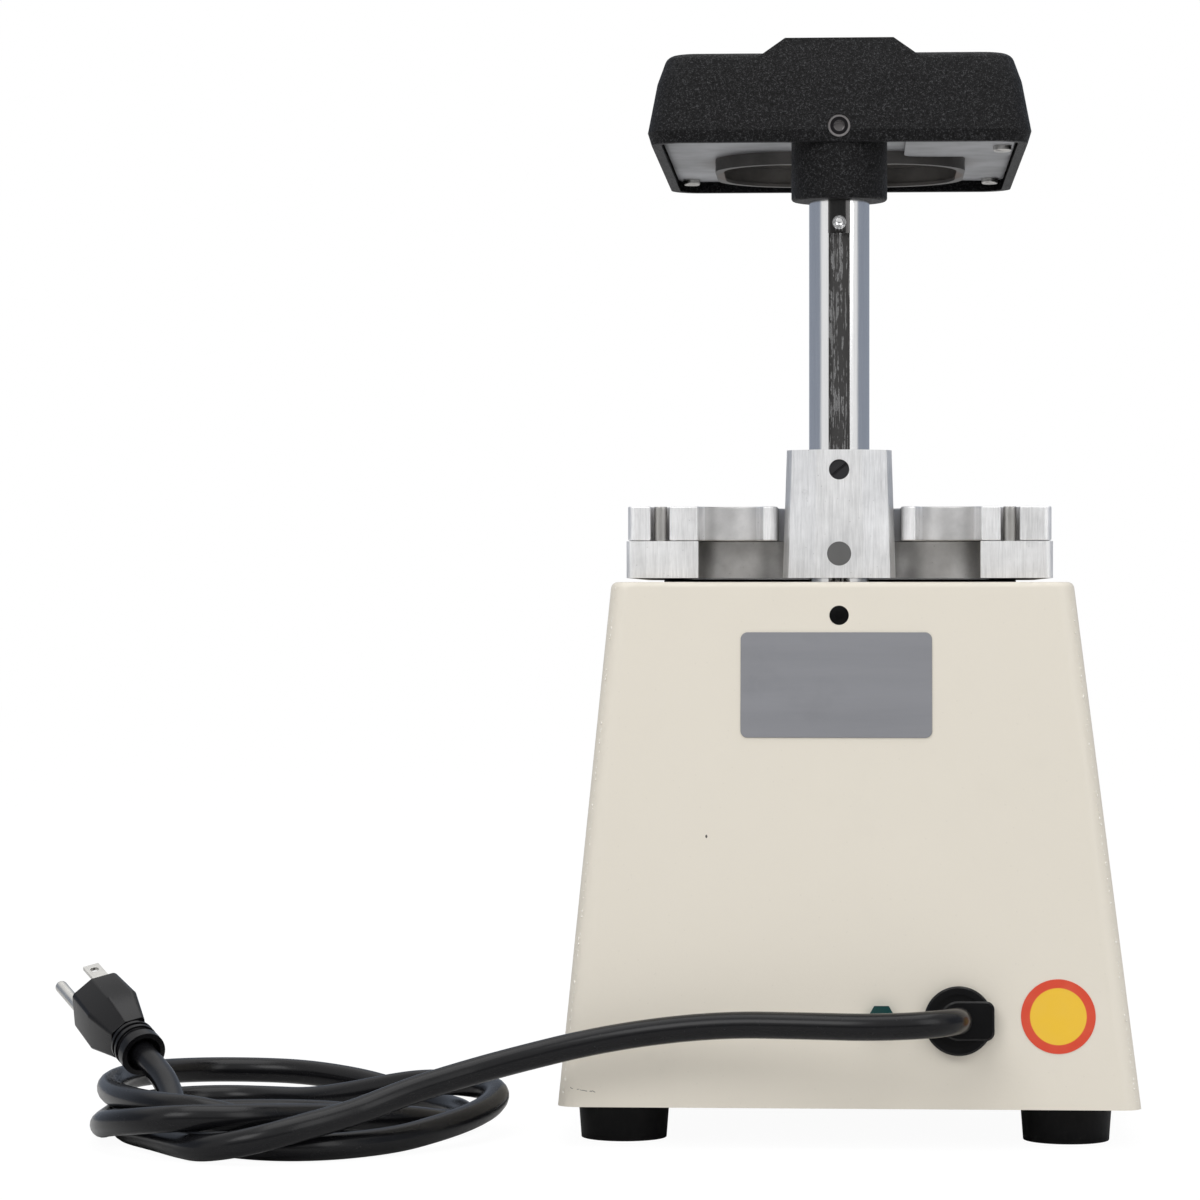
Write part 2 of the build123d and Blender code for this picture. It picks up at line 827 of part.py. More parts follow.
def frame_outline(width, tongue_length):
    depth = frame_rear_y - frame_front_y
    outline = Pos(post_x, (frame_rear_y + frame_front_y) / 2) * Rectangle(width, depth)
    outline = fillet(outline.vertices().group_by(Axis.Y)[0], frame_corner_radius)
    outline = fillet(outline.vertices().group_by(Axis.Y)[-1], frame_corner_radius / 3)
    tongue = RectangleRounded(tongue_width, 2 * tongue_length, tongue_corner_radius)
    outline += Pos(post_x, frame_front_y) * tongue
    opening = RectangleRounded(frame_opening, frame_opening, frame_opening_radius)
    return outline - Pos(post_x, form_y) * opening


def hub_outline(width):
    # half of an upright-sided eight-cornered outline, in shares of the hub's half width
    half = [(0.43, 0.93), (0.90, 0.63), (1.0, 0.42), (1.0, -0.42), (0.74, -0.80), (0.30, -1.0)]
    points = [(x * width / 2, y * hub_bottom_width / 2) for x, y in half]
    points += [(-x, y) for x, y in reversed(points)]
    return Pos(post_x, post_y) * make_face(Polyline(*points, close=True))


def make_lower_frame():
    body = Pos(0, 0, lower_frame_bottom_z) * extrude(
        frame_outline(frame_width, lower_tongue_length), lower_frame_thickness
    )
    recess_width = ear_inner_x - recess_inner_x
    recess_depth = 2 * (frame_rear_y - recess_front_y)
    for side in (-1, 1):
        place = Pos(post_x + side * (recess_inner_x + recess_width / 2), frame_rear_y, lower_frame_bottom_z)
        recess = RectangleRounded(recess_width, recess_depth, recess_radius)
        body -= place * extrude(recess, lower_frame_thickness)
    hub = loft([
        Pos(0, 0, lower_frame_bottom_z) * hub_outline(hub_bottom_width),
        Pos(0, 0, lower_frame_bottom_z + hub_height) * hub_outline(hub_top_width),
    ])
    body += hub
    body -= Pos(post_x, thumb_axis_y, 0) * rod(
        thumb_shank_radius + thumb_swing_gap, thumb_tip_z - thumb_swing_gap, upper_frame_bottom_z
    )
    body -= Pos(post_x, 0, knob_z) * rod_y(
        knob_stud_radius + press_gap, frame_front_y - lower_tongue_length, knob_stud_inner_y
    )
    body -= Pos(post_x, post_y, 0) * rod(
        post_radius + slide_gap, lower_frame_bottom_z, lower_frame_bottom_z + hub_height
    )
    body -= Pos(post_x, post_y, plunger_z) * rod_y(plunger_radius + press_gap, 0, socket_radius * 2)
    body -= Pos(post_x, post_y, key_pin_z) * rod_y(key_pin_radius + press_gap, 0, socket_radius * 2)
    for side in (-1, 1):
        low = upper_frame_bottom_z - frame_gap - stud_depth
        hole = rod(stud_radius + press_gap, low, upper_frame_bottom_z)
        body -= Pos(post_x + stud_over + side * stud_x, stud_y, 0) * hole
    return body


def make_key_pin():
    shoulder = post_radius + 2 * slide_gap
    pin = rod_y(key_pin_radius, shoulder, hub_back)
    pin += rod_y(key_tip_radius, post_radius - keyway_depth + key_tip_gap, shoulder)
    return Pos(post_x, post_y, key_pin_z) * pin


def plunger_inner_y():
    return hub_back - 0.6 - plunger_length


def make_plunger():
    outer = plunger_inner_y() + plunger_length
    body = rod_y(plunger_radius, plunger_inner_y(), outer)
    body -= rod_y(ball_radius + slide_gap, plunger_inner_y(), outer - plunger_slot_depth - 0.6)
    slot = Box(3 * plunger_radius, 2 * plunger_slot_depth, plunger_slot_width)
    body -= Pos(0, outer, 0) * Rot(0, 40, 0) * slot
    return Pos(post_x, post_y, plunger_z) * body


def ball_centre_y():
    return post_radius - ball_stand_out + ball_radius


def make_ball():
    return Pos(post_x, post_y + ball_centre_y(), plunger_z) * Sphere(ball_radius)


def make_plunger_spring():
    start = ball_centre_y() + ball_radius + 0.1 + spring_wire_radius
    end = plunger_inner_y() + plunger_length - plunger_slot_depth - 0.7 - spring_wire_radius
    height = end - start
    path = Helix(pitch=height / spring_coils, height=height, radius=spring_radius)
    profile = Plane(origin=path @ 0, z_dir=path % 0) * Circle(spring_wire_radius)
    coil = sweep(profile, path=path, is_frenet=True)
    return Pos(post_x, post_y + start, plunger_z) * Rot(-90, 0, 0) * coil


def make_studs():
    one = rod(stud_radius, upper_frame_bottom_z - frame_gap - stud_depth, upper_frame_top_z)
    return group(Pos(post_x + stud_over + side * stud_x, stud_y, 0) * one for side in (-1, 1))


def make_knob_stud():
    return Pos(post_x, 0, knob_z) * rod_y(knob_stud_radius, knob_stud_outer_y, knob_stud_inner_y)


def make_lift_knob():
    # a ball with a flat where it meets the tongue
    flat_y = frame_front_y - lower_tongue_length
    body = Pos(0, knob_y, 0) * Sphere(knob_radius)
    body -= Pos(0, flat_y, 0) * Box(
        2 * knob_radius, 2 * knob_radius, 2 * knob_radius, align=(Align.CENTER, Align.MIN, Align.CENTER)
    )
    body -= rod_y(knob_stud_radius + press_gap, knob_stud_outer_y - press_gap, flat_y)
    return Pos(post_x, 0, knob_z) * body


# Upper frame

def make_upper_frame():
    body = Pos(0, 0, upper_frame_bottom_z) * extrude(
        frame_outline(upper_frame_width, upper_tongue_length), upper_frame_thickness
    )
    notch = Pos(post_x, frame_rear_y) * RectangleRounded(
        2 * hub_notch_half_width, 2 * (frame_rear_y - hub_notch_front_y), hub_notch_corner_radius
    )
    cuts = Sketch() + notch
    for side in (-1, 1):
        lobe = Pos(post_x + side * (hub_notch_half_width + lobe_radius / 2), frame_rear_y)
        cuts += lobe * Rectangle(lobe_radius, 2 * lobe_radius)
        lobe_x = post_x + side * (hub_notch_half_width + lobe_radius)
        cuts -= Pos(lobe_x, frame_rear_y - lobe_radius) * Circle(lobe_radius)
        scallop_y = frame_rear_y - scallop_depth + scallop_radius
        cuts += Pos(post_x + side * scallop_x, scallop_y) * Circle(scallop_radius)
        cuts += Pos(post_x + stud_over + side * stud_x, frame_rear_y) * SlotOverall(
            2 * stud_slot_depth, stud_slot_width, rotation=90
        )
    body -= Pos(0, 0, upper_frame_bottom_z) * extrude(cuts, upper_frame_thickness)
    tongue_top = Box(
        tongue_width, 2 * upper_tongue_length, upper_frame_thickness,
        align=(Align.CENTER, Align.MAX, Align.MIN),
    )
    body -= Pos(post_x, frame_front_y, upper_frame_bottom_z + upper_tongue_thickness) * tongue_top
    body -= Pos(post_x, thumb_axis_y, 0) * rod(
        thumb_shank_radius + slide_gap, upper_frame_bottom_z, upper_frame_top_z
    )
    return body


def make_thumb_screw():
    low = upper_frame_bottom_z + upper_tongue_thickness + frame_gap
    knob = rod(thumb_knob_radius, low, low + thumb_knob_height)
    knob = chamfer(knob.edges().group_by(Axis.Z)[-1], 1)
    for index in range(thumb_flute_count):
        flute = Pos(thumb_knob_radius, 0, 0) * rod(thumb_flute_radius, low, low + thumb_knob_height)
        knob -= Rot(0, 0, index * 360 / thumb_flute_count) * flute
    shank = rod(thumb_shank_radius, thumb_tip_z, low)
    shank = chamfer(shank.edges().group_by(Axis.Z)[0], 1)
    return Pos(post_x, thumb_axis_y, 0) * (knob + shank)


# Heater head

def head_section(rise, width, depth_loss, inset):
    depth = head_depth - depth_loss - 2 * inset
    return Pos(post_x, head_mid_y, head_bottom_z + rise) * RectangleRounded(
        width - 2 * inset, depth, head_corner_radius - inset
    )


def head_block(inset, drop):
    base = loft([
        head_section(0, head_bottom_width, 0, inset),
        head_section(head_waist_rise, head_waist_width, head_bottom_width - head_waist_width, inset),
    ])
    middle = loft([
        head_section(head_waist_rise, head_waist_width, head_bottom_width - head_waist_width, inset),
        head_section(head_shoulder_rise, head_shoulder_width, head_top_depth_loss * 0.4, inset),
    ])
    top = loft([
        head_section(head_shoulder_rise, head_shoulder_width, head_top_depth_loss * 0.4, inset),
        head_section(head_height - drop, head_top_width, head_top_depth_loss, inset),
    ])
    return base + middle + top


def boss_section(radius, rear_y, z):
    # round towards the front, square to the head's rear wall
    left = post_x - radius
    right = post_x + radius
    edge = Polyline((left, post_y), (left, rear_y), (right, rear_y), (right, post_y))
    front = ThreePointArc((right, post_y), (post_x, post_y - radius), (left, post_y))
    return Pos(0, 0, z) * make_face(edge + front)


def inner_room():
    return head_block(head_wall, head_wall)


def pillar_places():
    # two at the front, and one at the back on the terminal cover's side
    front = [(post_x + side * pillar_x, pillar_front_y) for side in (-1, 1)]
    return front + [(post_x - pillar_x, pillar_rear_y)]


def make_head():
    body = head_block(0, 0)
    body = fillet(body.edges().group_by(Axis.Z)[-1], head_edge_radius)
    body -= inner_room()
    inner = head_block(head_wall / 2, head_wall / 2)
    top_rear = head_mid_y + (head_depth - head_top_depth_loss) / 2
    low_rear = top_rear + head_boss_sink * head_rear_lean
    high_rear = top_rear - head_boss_height * head_rear_lean
    low = boss_section(head_boss_base_radius, low_rear, head_top_z - head_boss_sink)
    high = boss_section(head_boss_top_radius, high_rear, head_top_z + head_boss_height)
    body += loft([low, high]) - inner_room()
    collar = Pos(post_x, post_y, 0) * rod(collar_radius, head_bottom_z, head_top_z)
    body += collar & (inner + Pos(post_x, post_y, 0) * rod(collar_radius, head_bottom_z, head_bottom_z + 1))
    neck = Pos(post_x, post_y, 0) * rod(collar_radius, collar_bottom_z, head_bottom_z)
    neck = fillet(neck.edges().group_by(Axis.Z)[0], 1.2)
    body += neck
    for x, y in pillar_places():
        pillar = rod(pillar_radius, reflector_z + reflector_thickness, head_top_z)
        pillar -= rod(reflector_screw_radius + press_gap, reflector_z, reflector_z + 4 * pillar_radius)
        body += (Pos(x, y, 0) * pillar) & inner
    body -= Pos(post_x, post_y, 0) * rod(post_radius + press_gap, collar_bottom_z, post_top_z + loose_gap)
    screw_hole = rod_y(head_set_screw_radius + press_gap, 0, 3 * post_radius)
    body -= Pos(post_x, post_y, head_set_screw_z) * screw_hole
    body -= Pos(post_x, post_y, wire_exit_z) * Rot(0, -90, 0) * rod(wire_exit_radius, 0, 2 * post_radius)
    return body


def make_head_set_screw():
    end = head_rear_overhang - head_set_screw_recess
    body = set_screw(head_set_screw_radius, post_radius + press_gap, end)
    return Pos(post_x, post_y, head_set_screw_z) * body


def make_reflector():
    depth = reflector_rear_y - reflector_front_y
    mid_y = (reflector_rear_y + reflector_front_y) / 2
    sheet = Pos(post_x, mid_y, reflector_z) * extrude(
        RectangleRounded(reflector_width, depth, head_corner_radius - head_wall), reflector_thickness
    )
    high = reflector_z + reflector_thickness
    size = ring_size + 2 * press_gap
    sheet -= Pos(post_x, form_y, 0) * slab(size, size, ring_corner_radius, reflector_z, high)
    notch = rod(reflector_notch, reflector_z, high)
    notch += Pos(0, 0, reflector_z) * Box(
        2 * reflector_notch, 2 * reflector_notch, reflector_thickness,
        align=(Align.CENTER, Align.MIN, Align.MIN),
    )
    sheet -= Pos(post_x, post_y, 0) * notch
    for x, y in pillar_places():
        sheet -= Pos(x, y, 0) * rod(reflector_screw_radius + press_gap, reflector_z, high)
    return sheet


def make_reflector_screws():
    one = screw(
        reflector_screw_radius, reflector_screw_head_radius, reflector_screw_head_height,
        reflector_screw_length, reflector_screw_radius * 0.58,
    )
    lower = reflector_z - terminal_cover_gap - terminal_cover_thickness
    pieces = []
    for x, y in pillar_places():
        under_cover = y == pillar_rear_y and x < post_x
        pieces.append(Pos(x, y, lower if under_cover else reflector_z) * one)
    return group(pieces)


def make_heater_ring():
    inner = ring_size - 2 * ring_wall
    inner_radius = ring_corner_radius - ring_wall
    top = ring_rim_z + ring_height
    flange_z = reflector_z + reflector_thickness
    body = slab(ring_size, ring_size, ring_corner_radius, ring_rim_z, top)
    size = ring_size + 2 * ring_flange
    body += slab(size, size, ring_corner_radius + ring_flange, flange_z, flange_z + ring_wall)
    body -= slab(inner, inner, inner_radius, ring_rim_z + ring_lip_thickness, top)
    mouth = inner - 2 * ring_lip_width
    body -= slab(mouth, mouth, inner_radius - ring_lip_width, ring_rim_z, ring_rim_z + ring_lip_thickness)
    ledge = slab(inner, inner, inner_radius, ceramic_z - ring_wall, ceramic_z)
    ledge -= slab(inner - 4, inner - 4, inner_radius - 2, ceramic_z - ring_wall, ceramic_z)
    return Pos(post_x, form_y, 0) * (body + ledge)


def element_path():
    # rows of wire joined by turns, in the middle of the ceramic's lower face
    points = []
    for row in range(element_rows):
        y = (row - (element_rows - 1) / 2) * element_pitch
        ends = (-element_span / 2, element_span / 2)
        for x in ends if row % 2 == 0 else reversed(ends):
            points.append((x, y))
    return FilletPolyline(*points, radius=element_pitch * 0.45)


def make_ceramic():
    size = ring_size - 2 * ring_wall - 2 * ceramic_gap
    radius = ring_corner_radius - ring_wall - ceramic_gap
    body = slab(size, size, radius, ceramic_z, ceramic_z + ceramic_thickness)
    path = element_path()
    groove = Plane(origin=path @ 0, z_dir=path % 0, x_dir=(0, 0, 1)) * Rectangle(
        2 * groove_depth, 2 * element_radius + 1
    )
    body -= Pos(0, 0, ceramic_z) * sweep(groove, path=path)
    return Pos(post_x, form_y, 0) * body


def make_element():
    path = element_path()
    profile = Plane(origin=path @ 0, z_dir=path % 0) * Circle(element_radius)
    return Pos(post_x, form_y, ceramic_z + groove_depth - element_radius) * sweep(profile, path=path)


def make_terminal_cover():
    low = reflector_z - terminal_cover_gap - terminal_cover_thickness
    depth = head_rear_y - terminal_cover_rear_gap - terminal_cover_front_y
    x = post_x - terminal_cover_inner_x - terminal_cover_width / 2
    y = terminal_cover_front_y + depth / 2
    body = Pos(x, y, low) * extrude(
        RectangleRounded(terminal_cover_width, depth, terminal_cover_corner_radius), terminal_cover_thickness
    )
    foot = Box(12, 12, terminal_cover_gap, align=(Align.CENTER, Align.CENTER, Align.MIN))
    body += Pos(post_x - pillar_x + 2, pillar_rear_y, low + terminal_cover_thickness) * foot
    screw_hole = rod(reflector_screw_radius + press_gap, low, reflector_z)
    body -= Pos(post_x - pillar_x, pillar_rear_y, 0) * screw_hole
    return body


def make_terminals():
    # porcelain block on the reflector, with its two studs
    z = reflector_z + reflector_thickness
    block = Box(terminal_block_width, terminal_block_depth, terminal_block_height,
                align=(Align.CENTER, Align.CENTER, Align.MIN))
    pieces = [Pos(post_x - terminal_x, terminal_y, z) * block]
    for side in (-1, 1):
        stud = rod(terminal_radius, 0, 5) + extrude(RegularPolygon(2 * terminal_radius, 6), 2)
        x = post_x - terminal_x + side * terminal_block_width / 4
        pieces.append(Pos(x, terminal_y, z + terminal_block_height) * stud)
    return group(pieces)


def make_heater_leads():
    end_x = post_x - terminal_x
    block_top_z = cover_top_z + block_height
    path = FilletPolyline(
        (block_x, block_y, block_top_z),
        (block_x, block_y, lead_first_z),
        (post_x, post_y, lead_second_z),
        (post_x, post_y, wire_exit_z),
        (end_x, post_y, wire_exit_z),
        (end_x, terminal_y + terminal_block_depth / 2 + press_gap, wire_exit_z),
        radius=lead_bend_radius,
    )
    profile = Plane(origin=path @ 0, z_dir=path % 0) * Circle(lead_radius)
    return sweep(profile, path=path)


# Front panel and switches

def make_panel():
    plate = extrude(RectangleRounded(panel_width, panel_height, 4), panel_thickness)
    body = front_plane(0, panel_z) * plate
    for side in (-1, 1):
        body -= front_plane(side * switch_x, panel_z) * Box(
            switch_body_width + 2 * loose_gap, switch_body_height + 2 * loose_gap, 6 * housing_wall
        )
    return body


def rocker_shape():
    # about its pivot: ends round about the pivot, top a shallow V whose pressed half lies flush
    end = rocker_height / 2
    slope = math.tan(math.radians(rocker_angle))
    flush = rocker_pivot_depth + switch_bezel_thickness + rocker_gap
    dip = flush / math.cos(math.radians(rocker_angle))
    profile = make_face(Polyline(
        (-end, dip + end * slope), (0, dip), (end, dip + end * slope),
        (end, -1), (0, -rocker_keel), (-end, -1),
        close=True,
    ))
    body = extrude(Plane.YZ * (profile & Circle(end)), rocker_width / 2, both=True)
    return body - rod_x(rocker_pin_radius + slide_gap, 2 * rocker_width)


def switch_place(side):
    return front_plane(side * switch_x, panel_z) * Pos(0, 0, panel_thickness)


def make_switch_bodies():
    pieces = []
    half = rocker_height / 2
    for side in (-1, 1):
        bezel = extrude(RectangleRounded(switch_bezel_width, switch_bezel_height, 2), switch_bezel_thickness)
        body = bezel + Box(switch_body_width, switch_body_height, switch_body_depth,
                           align=(Align.CENTER, Align.CENTER, Align.MAX))
        pocket = Box(rocker_width + 2 * rocker_gap, rocker_height + 2 * rocker_gap, switch_pocket_depth,
                     align=(Align.CENTER, Align.CENTER, Align.MAX))
        body -= Pos(0, 0, switch_bezel_thickness) * pocket
        body += Pos(0, 0, -rocker_pivot_depth) * rod_x(rocker_pin_radius, rocker_width + 4)
        for tab in (-1, 0, 1):
            body += Pos(0, tab * switch_tab_pitch, -switch_body_depth) * Box(
                5, 0.8, switch_tab_length, align=(Align.CENTER, Align.CENTER, Align.MAX)
            )
        pieces.append(switch_place(side) * body)
    return group(pieces)


def make_rocker(side):
    return switch_place(side) * Pos(0, 0, -rocker_pivot_depth) * Rot(rocker_angle, 0, 0) * rocker_shape()


# Back of the housing

def make_nameplate():
    plate = RectangleRounded(label_width, label_height, label_corner_radius)
    return rear_plane(label_x, label_z) * extrude(plate, label_thickness)


def make_sticker():
    return rear_plane(sticker_x, sticker_z) * extrude(Circle(sticker_radius), sticker_thickness)


def make_ground_screw():
    # the screw, and the nut behind the wall that holds the earth tag
    body = extrude(RegularPolygon(ground_hex_radius, 6), ground_hex_height)
    body += rod(ground_screw_radius, -ground_screw_length, 0)
    tag = extrude(SlotOverall(ground_tag_length, ground_tag_width), ground_tag_thickness)
    stack = ground_nut_height + ground_tag_thickness
    nut = extrude(RegularPolygon(2 * ground_screw_radius, 6), ground_nut_height)
    nut += Pos(0, 0, ground_nut_height) * tag
    nut -= rod(ground_screw_radius + press_gap, 0, 2 * stack)
    nut = Pos(0, 0, -housing_wall * 1.02 - stack) * nut
    return group(rear_plane(ground_x, ground_z) * piece for piece in (body, nut))


def make_strain_relief():
    body = rod(relief_head_radius, 0, relief_ring_height)
    body = chamfer(body.edges().group_by(Axis.Z)[-1], relief_chamfer)
    body -= rod(relief_ring_bore, relief_floor, relief_head_height)
    key = RectangleRounded(2 * relief_key_reach, relief_key_width, relief_key_radius)
    key = key & Pos(relief_key_reach, 0) * Rectangle(2 * relief_key_reach, relief_key_width)
    wedge = extrude(key + Circle(relief_key_width / 2), relief_head_height)
    body += chamfer(wedge.edges().group_by(Axis.Z)[-1], relief_chamfer)
    body += rod(relief_barrel_radius - press_gap, -relief_barrel_length, 0)
    body -= rod(cord_radius + press_gap, -relief_barrel_length, relief_head_height)
    return rear_plane(relief_x, relief_z) * body


# Wiring inside the housing

def make_terminal_block():
    # the block, then its clamping screws
    body = Box(block_width, block_depth, block_height, align=(Align.CENTER, Align.CENTER, Align.MIN))
    pitch = block_width / block_ways
    well = rod(block_screw_radius, block_height - 6, block_height)
    one = rod(block_screw_radius - press_gap, block_height - 6, block_height - 3)
    one -= Pos(0, 0, block_height - 3) * Box(2 * block_screw_radius, 0.8, 1.6)
    screws = []
    for way in range(block_ways):
        x = (way - (block_ways - 1) / 2) * pitch
        for y in (-block_depth / 4, block_depth / 4):
            body -= Pos(x, y, 0) * well
            screws.append(Pos(x, y, 0) * one)
    return group(Pos(block_x, block_y, cover_top_z) * piece for piece in [body] + screws)


def lead_along(points, radius, bend):
    path = FilletPolyline(*points, radius=bend)
    profile = Plane(origin=path @ 0, z_dir=path % 0) * Circle(radius)
    return sweep(profile, path=path)


def relief_point(height):
    place = (rear_plane(relief_x, relief_z) * Pos(0, 0, height)).position
    return (place.X, place.Y, place.Z)


def make_inner_lead():
    # the cord goes on through the strain relief to the terminal block
    block_end = block_x - block_width / 2
    z = cover_top_z + block_height / 2
    return lead_along([
        relief_point(relief_head_height),
        relief_point(-relief_barrel_length - lead_clear),
        (relief_x + lead_slack_x, block_y + lead_slack_y, z),
        (block_end - lead_run_in, block_y, z),
        (block_end, block_y, z),
    ], cord_radius, 8)


def make_inner_wiring():
    # from the terminal block to each switch, and to the motor
    z = cover_top_z + block_height / 2
    start_y = block_y - block_depth / 2
    low_z = z + 14
    pieces = []
    for side in (-1, 1):
        tab = switch_place(side) * Pos(0, -switch_tab_pitch, -switch_body_depth - switch_tab_length)
        inner = tab * Pos(0, 0, -wiring_turn)
        start_x = block_x + side * block_width / 4
        pieces.append(lead_along([
            (start_x, start_y, z),
            (start_x, start_y - 2 * wiring_turn, z),
            (side * switch_x, form_y - motor_radius + 6, low_z),
            (inner.position.X, inner.position.Y, inner.position.Z),
            (tab.position.X, tab.position.Y, tab.position.Z),
        ], wiring_radius, 6))
    motor_x = post_x + motor_radius / 2
    motor_y = form_y + motor_radius / 2
    pieces.append(lead_along([
        (block_x, start_y, z),
        (block_x, start_y - 1.5 * wiring_turn, z),
        (motor_x, motor_y, low_z),
        (motor_x, motor_y, motor_bottom_z),
    ], wiring_radius, 6))
    return group(pieces)


# Power cord, coil and plug

def route_radii(points):
    radii = []
    for before, here, after in zip(points, points[1:], points[2:]):
        one = Vector(*here) - Vector(*before)
        two = Vector(*after) - Vector(*here)
        half_turn = math.radians(one.get_angle(two)) / 2
        radii.append(0.45 * min(one.length, two.length) / math.tan(half_turn))
    return radii


def cord_tube(points, name):
    radii = route_radii(points)
    path = FilletPolyline(*points, radius=radii)
    profile = Plane(origin=path @ 0, z_dir=path % 0) * Circle(cord_radius)
    body = sweep(profile, path=path)
    section = math.pi * cord_radius ** 2
    print(name, "radii", [round(radius, 1) for radius in radii], "length", round(path.length, 1),
          "volume ratio", round(body.volume / section / path.length, 4))
    return body


def make_coil():
    outer = Pos(coil_x, coil_y) * Ellipse(coil_half_width, coil_half_depth)
    inner = Pos(coil_x, coil_y) * Ellipse(coil_half_width - coil_band, coil_half_depth - coil_band)
    return extrude(outer - inner, coil_height)


def make_cord(coil):
    route = [relief_point(relief_head_height), relief_point(relief_head_height + cord_exit_length)]
    return cord_tube(route + cord_route, "cord") - coil


def plug_plane():
    # local Z runs along the plug, local Y towards its earth pin
    way = Vector(*plug_direction).normalized()
    across = Vector(1, 0, 0) - way * way.X
    return Plane(origin=plug_place, x_dir=across.cross(way).normalized(), z_dir=way)


def make_tail(coil):
    # the cord goes into the collar and ends on its floor
    way = Vector(*plug_direction).normalized()
    floor = Vector(*plug_place) + plug_collar_depth * way
    before = floor - tail_last_run * way
    ends = [(point.X, point.Y, point.Z) for point in (before, floor)]
    return cord_tube(tail_route + ends, "tail") - coil


def plug_section(share, height):
    # flat below, with sloping shoulders up to the earth pin
    half = [(0.5, -0.38), (0.5, 0.12), (0.30, 0.5)]
    right = [(x * plug_body_width, y * plug_body_thickness) for x, y in half]
    points = right + [(-x, y) for x, y in reversed(right)]
    face = make_face(Polyline(*[(share * x, share * y) for x, y in points], close=True))
    return Pos(0, 0, plug_neck_length + height) * fillet(face.vertices(), 2.5 * share)


def make_plug_body():
    body = rod(plug_neck_radius, 0, plug_neck_length)
    for rib in range(plug_ribs):
        low = plug_neck_length - rib * plug_rib_pitch - plug_rib_width - 1
        body += rod(plug_collar_radius, low, low + plug_rib_width)
    body += rod(plug_collar_radius, 0, plug_collar_depth - 2)
    shoulder = plug_section(1.0, plug_body_length * 0.45)
    body += loft([plug_section(0.68, 0), shoulder])
    body += loft([shoulder, plug_section(0.94, plug_body_length)])
    body -= rod(plug_collar_bore, 0, plug_collar_depth)
    return plug_plane() * body


def make_plug_pins():
    z = plug_neck_length + plug_body_length
    pieces = []
    for side in (-1, 1):
        upright = (Align.CENTER, Align.CENTER, Align.MIN)
        blade = Box(blade_thickness, blade_width, blade_length, align=upright)
        blade -= Pos(0, 0, blade_length - blade_hole_inset) * rod_x(blade_hole_radius, 4 * blade_thickness)
        pieces.append(plug_plane() * Pos(side * blade_spacing / 2, -ground_pin_offset / 3, z) * blade)
    pin = fillet(rod(ground_pin_radius, 0, ground_pin_length).edges().group_by(Axis.Z)[-1], 1.5)
    pieces.append(plug_plane() * Pos(0, ground_pin_offset * 2 / 3, z) * pin)
    return group(pieces)


def make_all():
    coil = make_coil()
    return {
        "base_housing": make_housing(),
        "bottom_cover": make_cover(),
        "cover_screws": make_cover_screws(),
        "rubber_feet": make_feet(),
        "foot_screws": make_foot_screws(),
        "post": make_post(),
        "post_socket": make_socket(),
        "socket_screws": make_socket_screws(),
        "post_set_screw": make_post_set_screw(),
        "forming_plate": make_forming_plate(),
        "plate_gasket": make_gasket(),
        "vacuum_chamber": make_chamber(),
        "fan_seal": make_seal(),
        "fan_housing": make_fan_can(),
        "motor_plate": make_motor_plate(),
        "motor_screws": make_motor_screws(),
        "motor_frame": make_motor_frame(),
        "field_core": make_field(),
        "motor_bearings": make_bearings(),
        "brush_holders": make_brushes(),
        "motor_shaft": make_shaft(),
        "armature": make_armature(),
        "commutator": make_commutator(),
        "fan_impeller": make_impeller(),
        "lower_frame": make_lower_frame(),
        "key_pin": make_key_pin(),
        "ball_plunger": make_plunger(),
        "detent_ball": make_ball(),
        "plunger_spring": make_plunger_spring(),
        "frame_studs": make_studs(),
        "upper_frame": make_upper_frame(),
        "thumb_screw": make_thumb_screw(),
        "knob_stud": make_knob_stud(),
        "lift_knob": make_lift_knob(),
        "heater_head": make_head(),
        "head_set_screw": make_head_set_screw(),
        "reflector_plate": make_reflector(),
        "reflector_screws": make_reflector_screws(),
        "heater_ring": make_heater_ring(),
        "heater_ceramic": make_ceramic(),
        "heater_element": make_element(),
        "terminal_cover": make_terminal_cover(),
        "heater_terminals": make_terminals(),
        "heater_leads": make_heater_leads(),
        "front_panel": make_panel(),
        "switch_bodies": make_switch_bodies(),
        "heater_rocker": make_rocker(-1),
        "motor_rocker": make_rocker(1),
        "nameplate": make_nameplate(),
        "round_sticker": make_sticker(),
        "ground_screw": make_ground_screw(),
        "strain_relief": make_strain_relief(),
        "terminal_block": make_terminal_block(),
        "inner_lead": make_inner_lead(),
        "inner_wiring": make_inner_wiring(),
        "power_cord": make_cord(coil),
        "cord_coil": coil,
        "cord_tail": make_tail(coil),
        "plug_body": make_plug_body(),
        "plug_pins": make_plug_pins(),
    }


def main():
    os.makedirs("parts", exist_ok=True)
    shapes = make_all()
    for name, shape in shapes.items():
        export_step(shape, f"parts/{name}.step")


main()
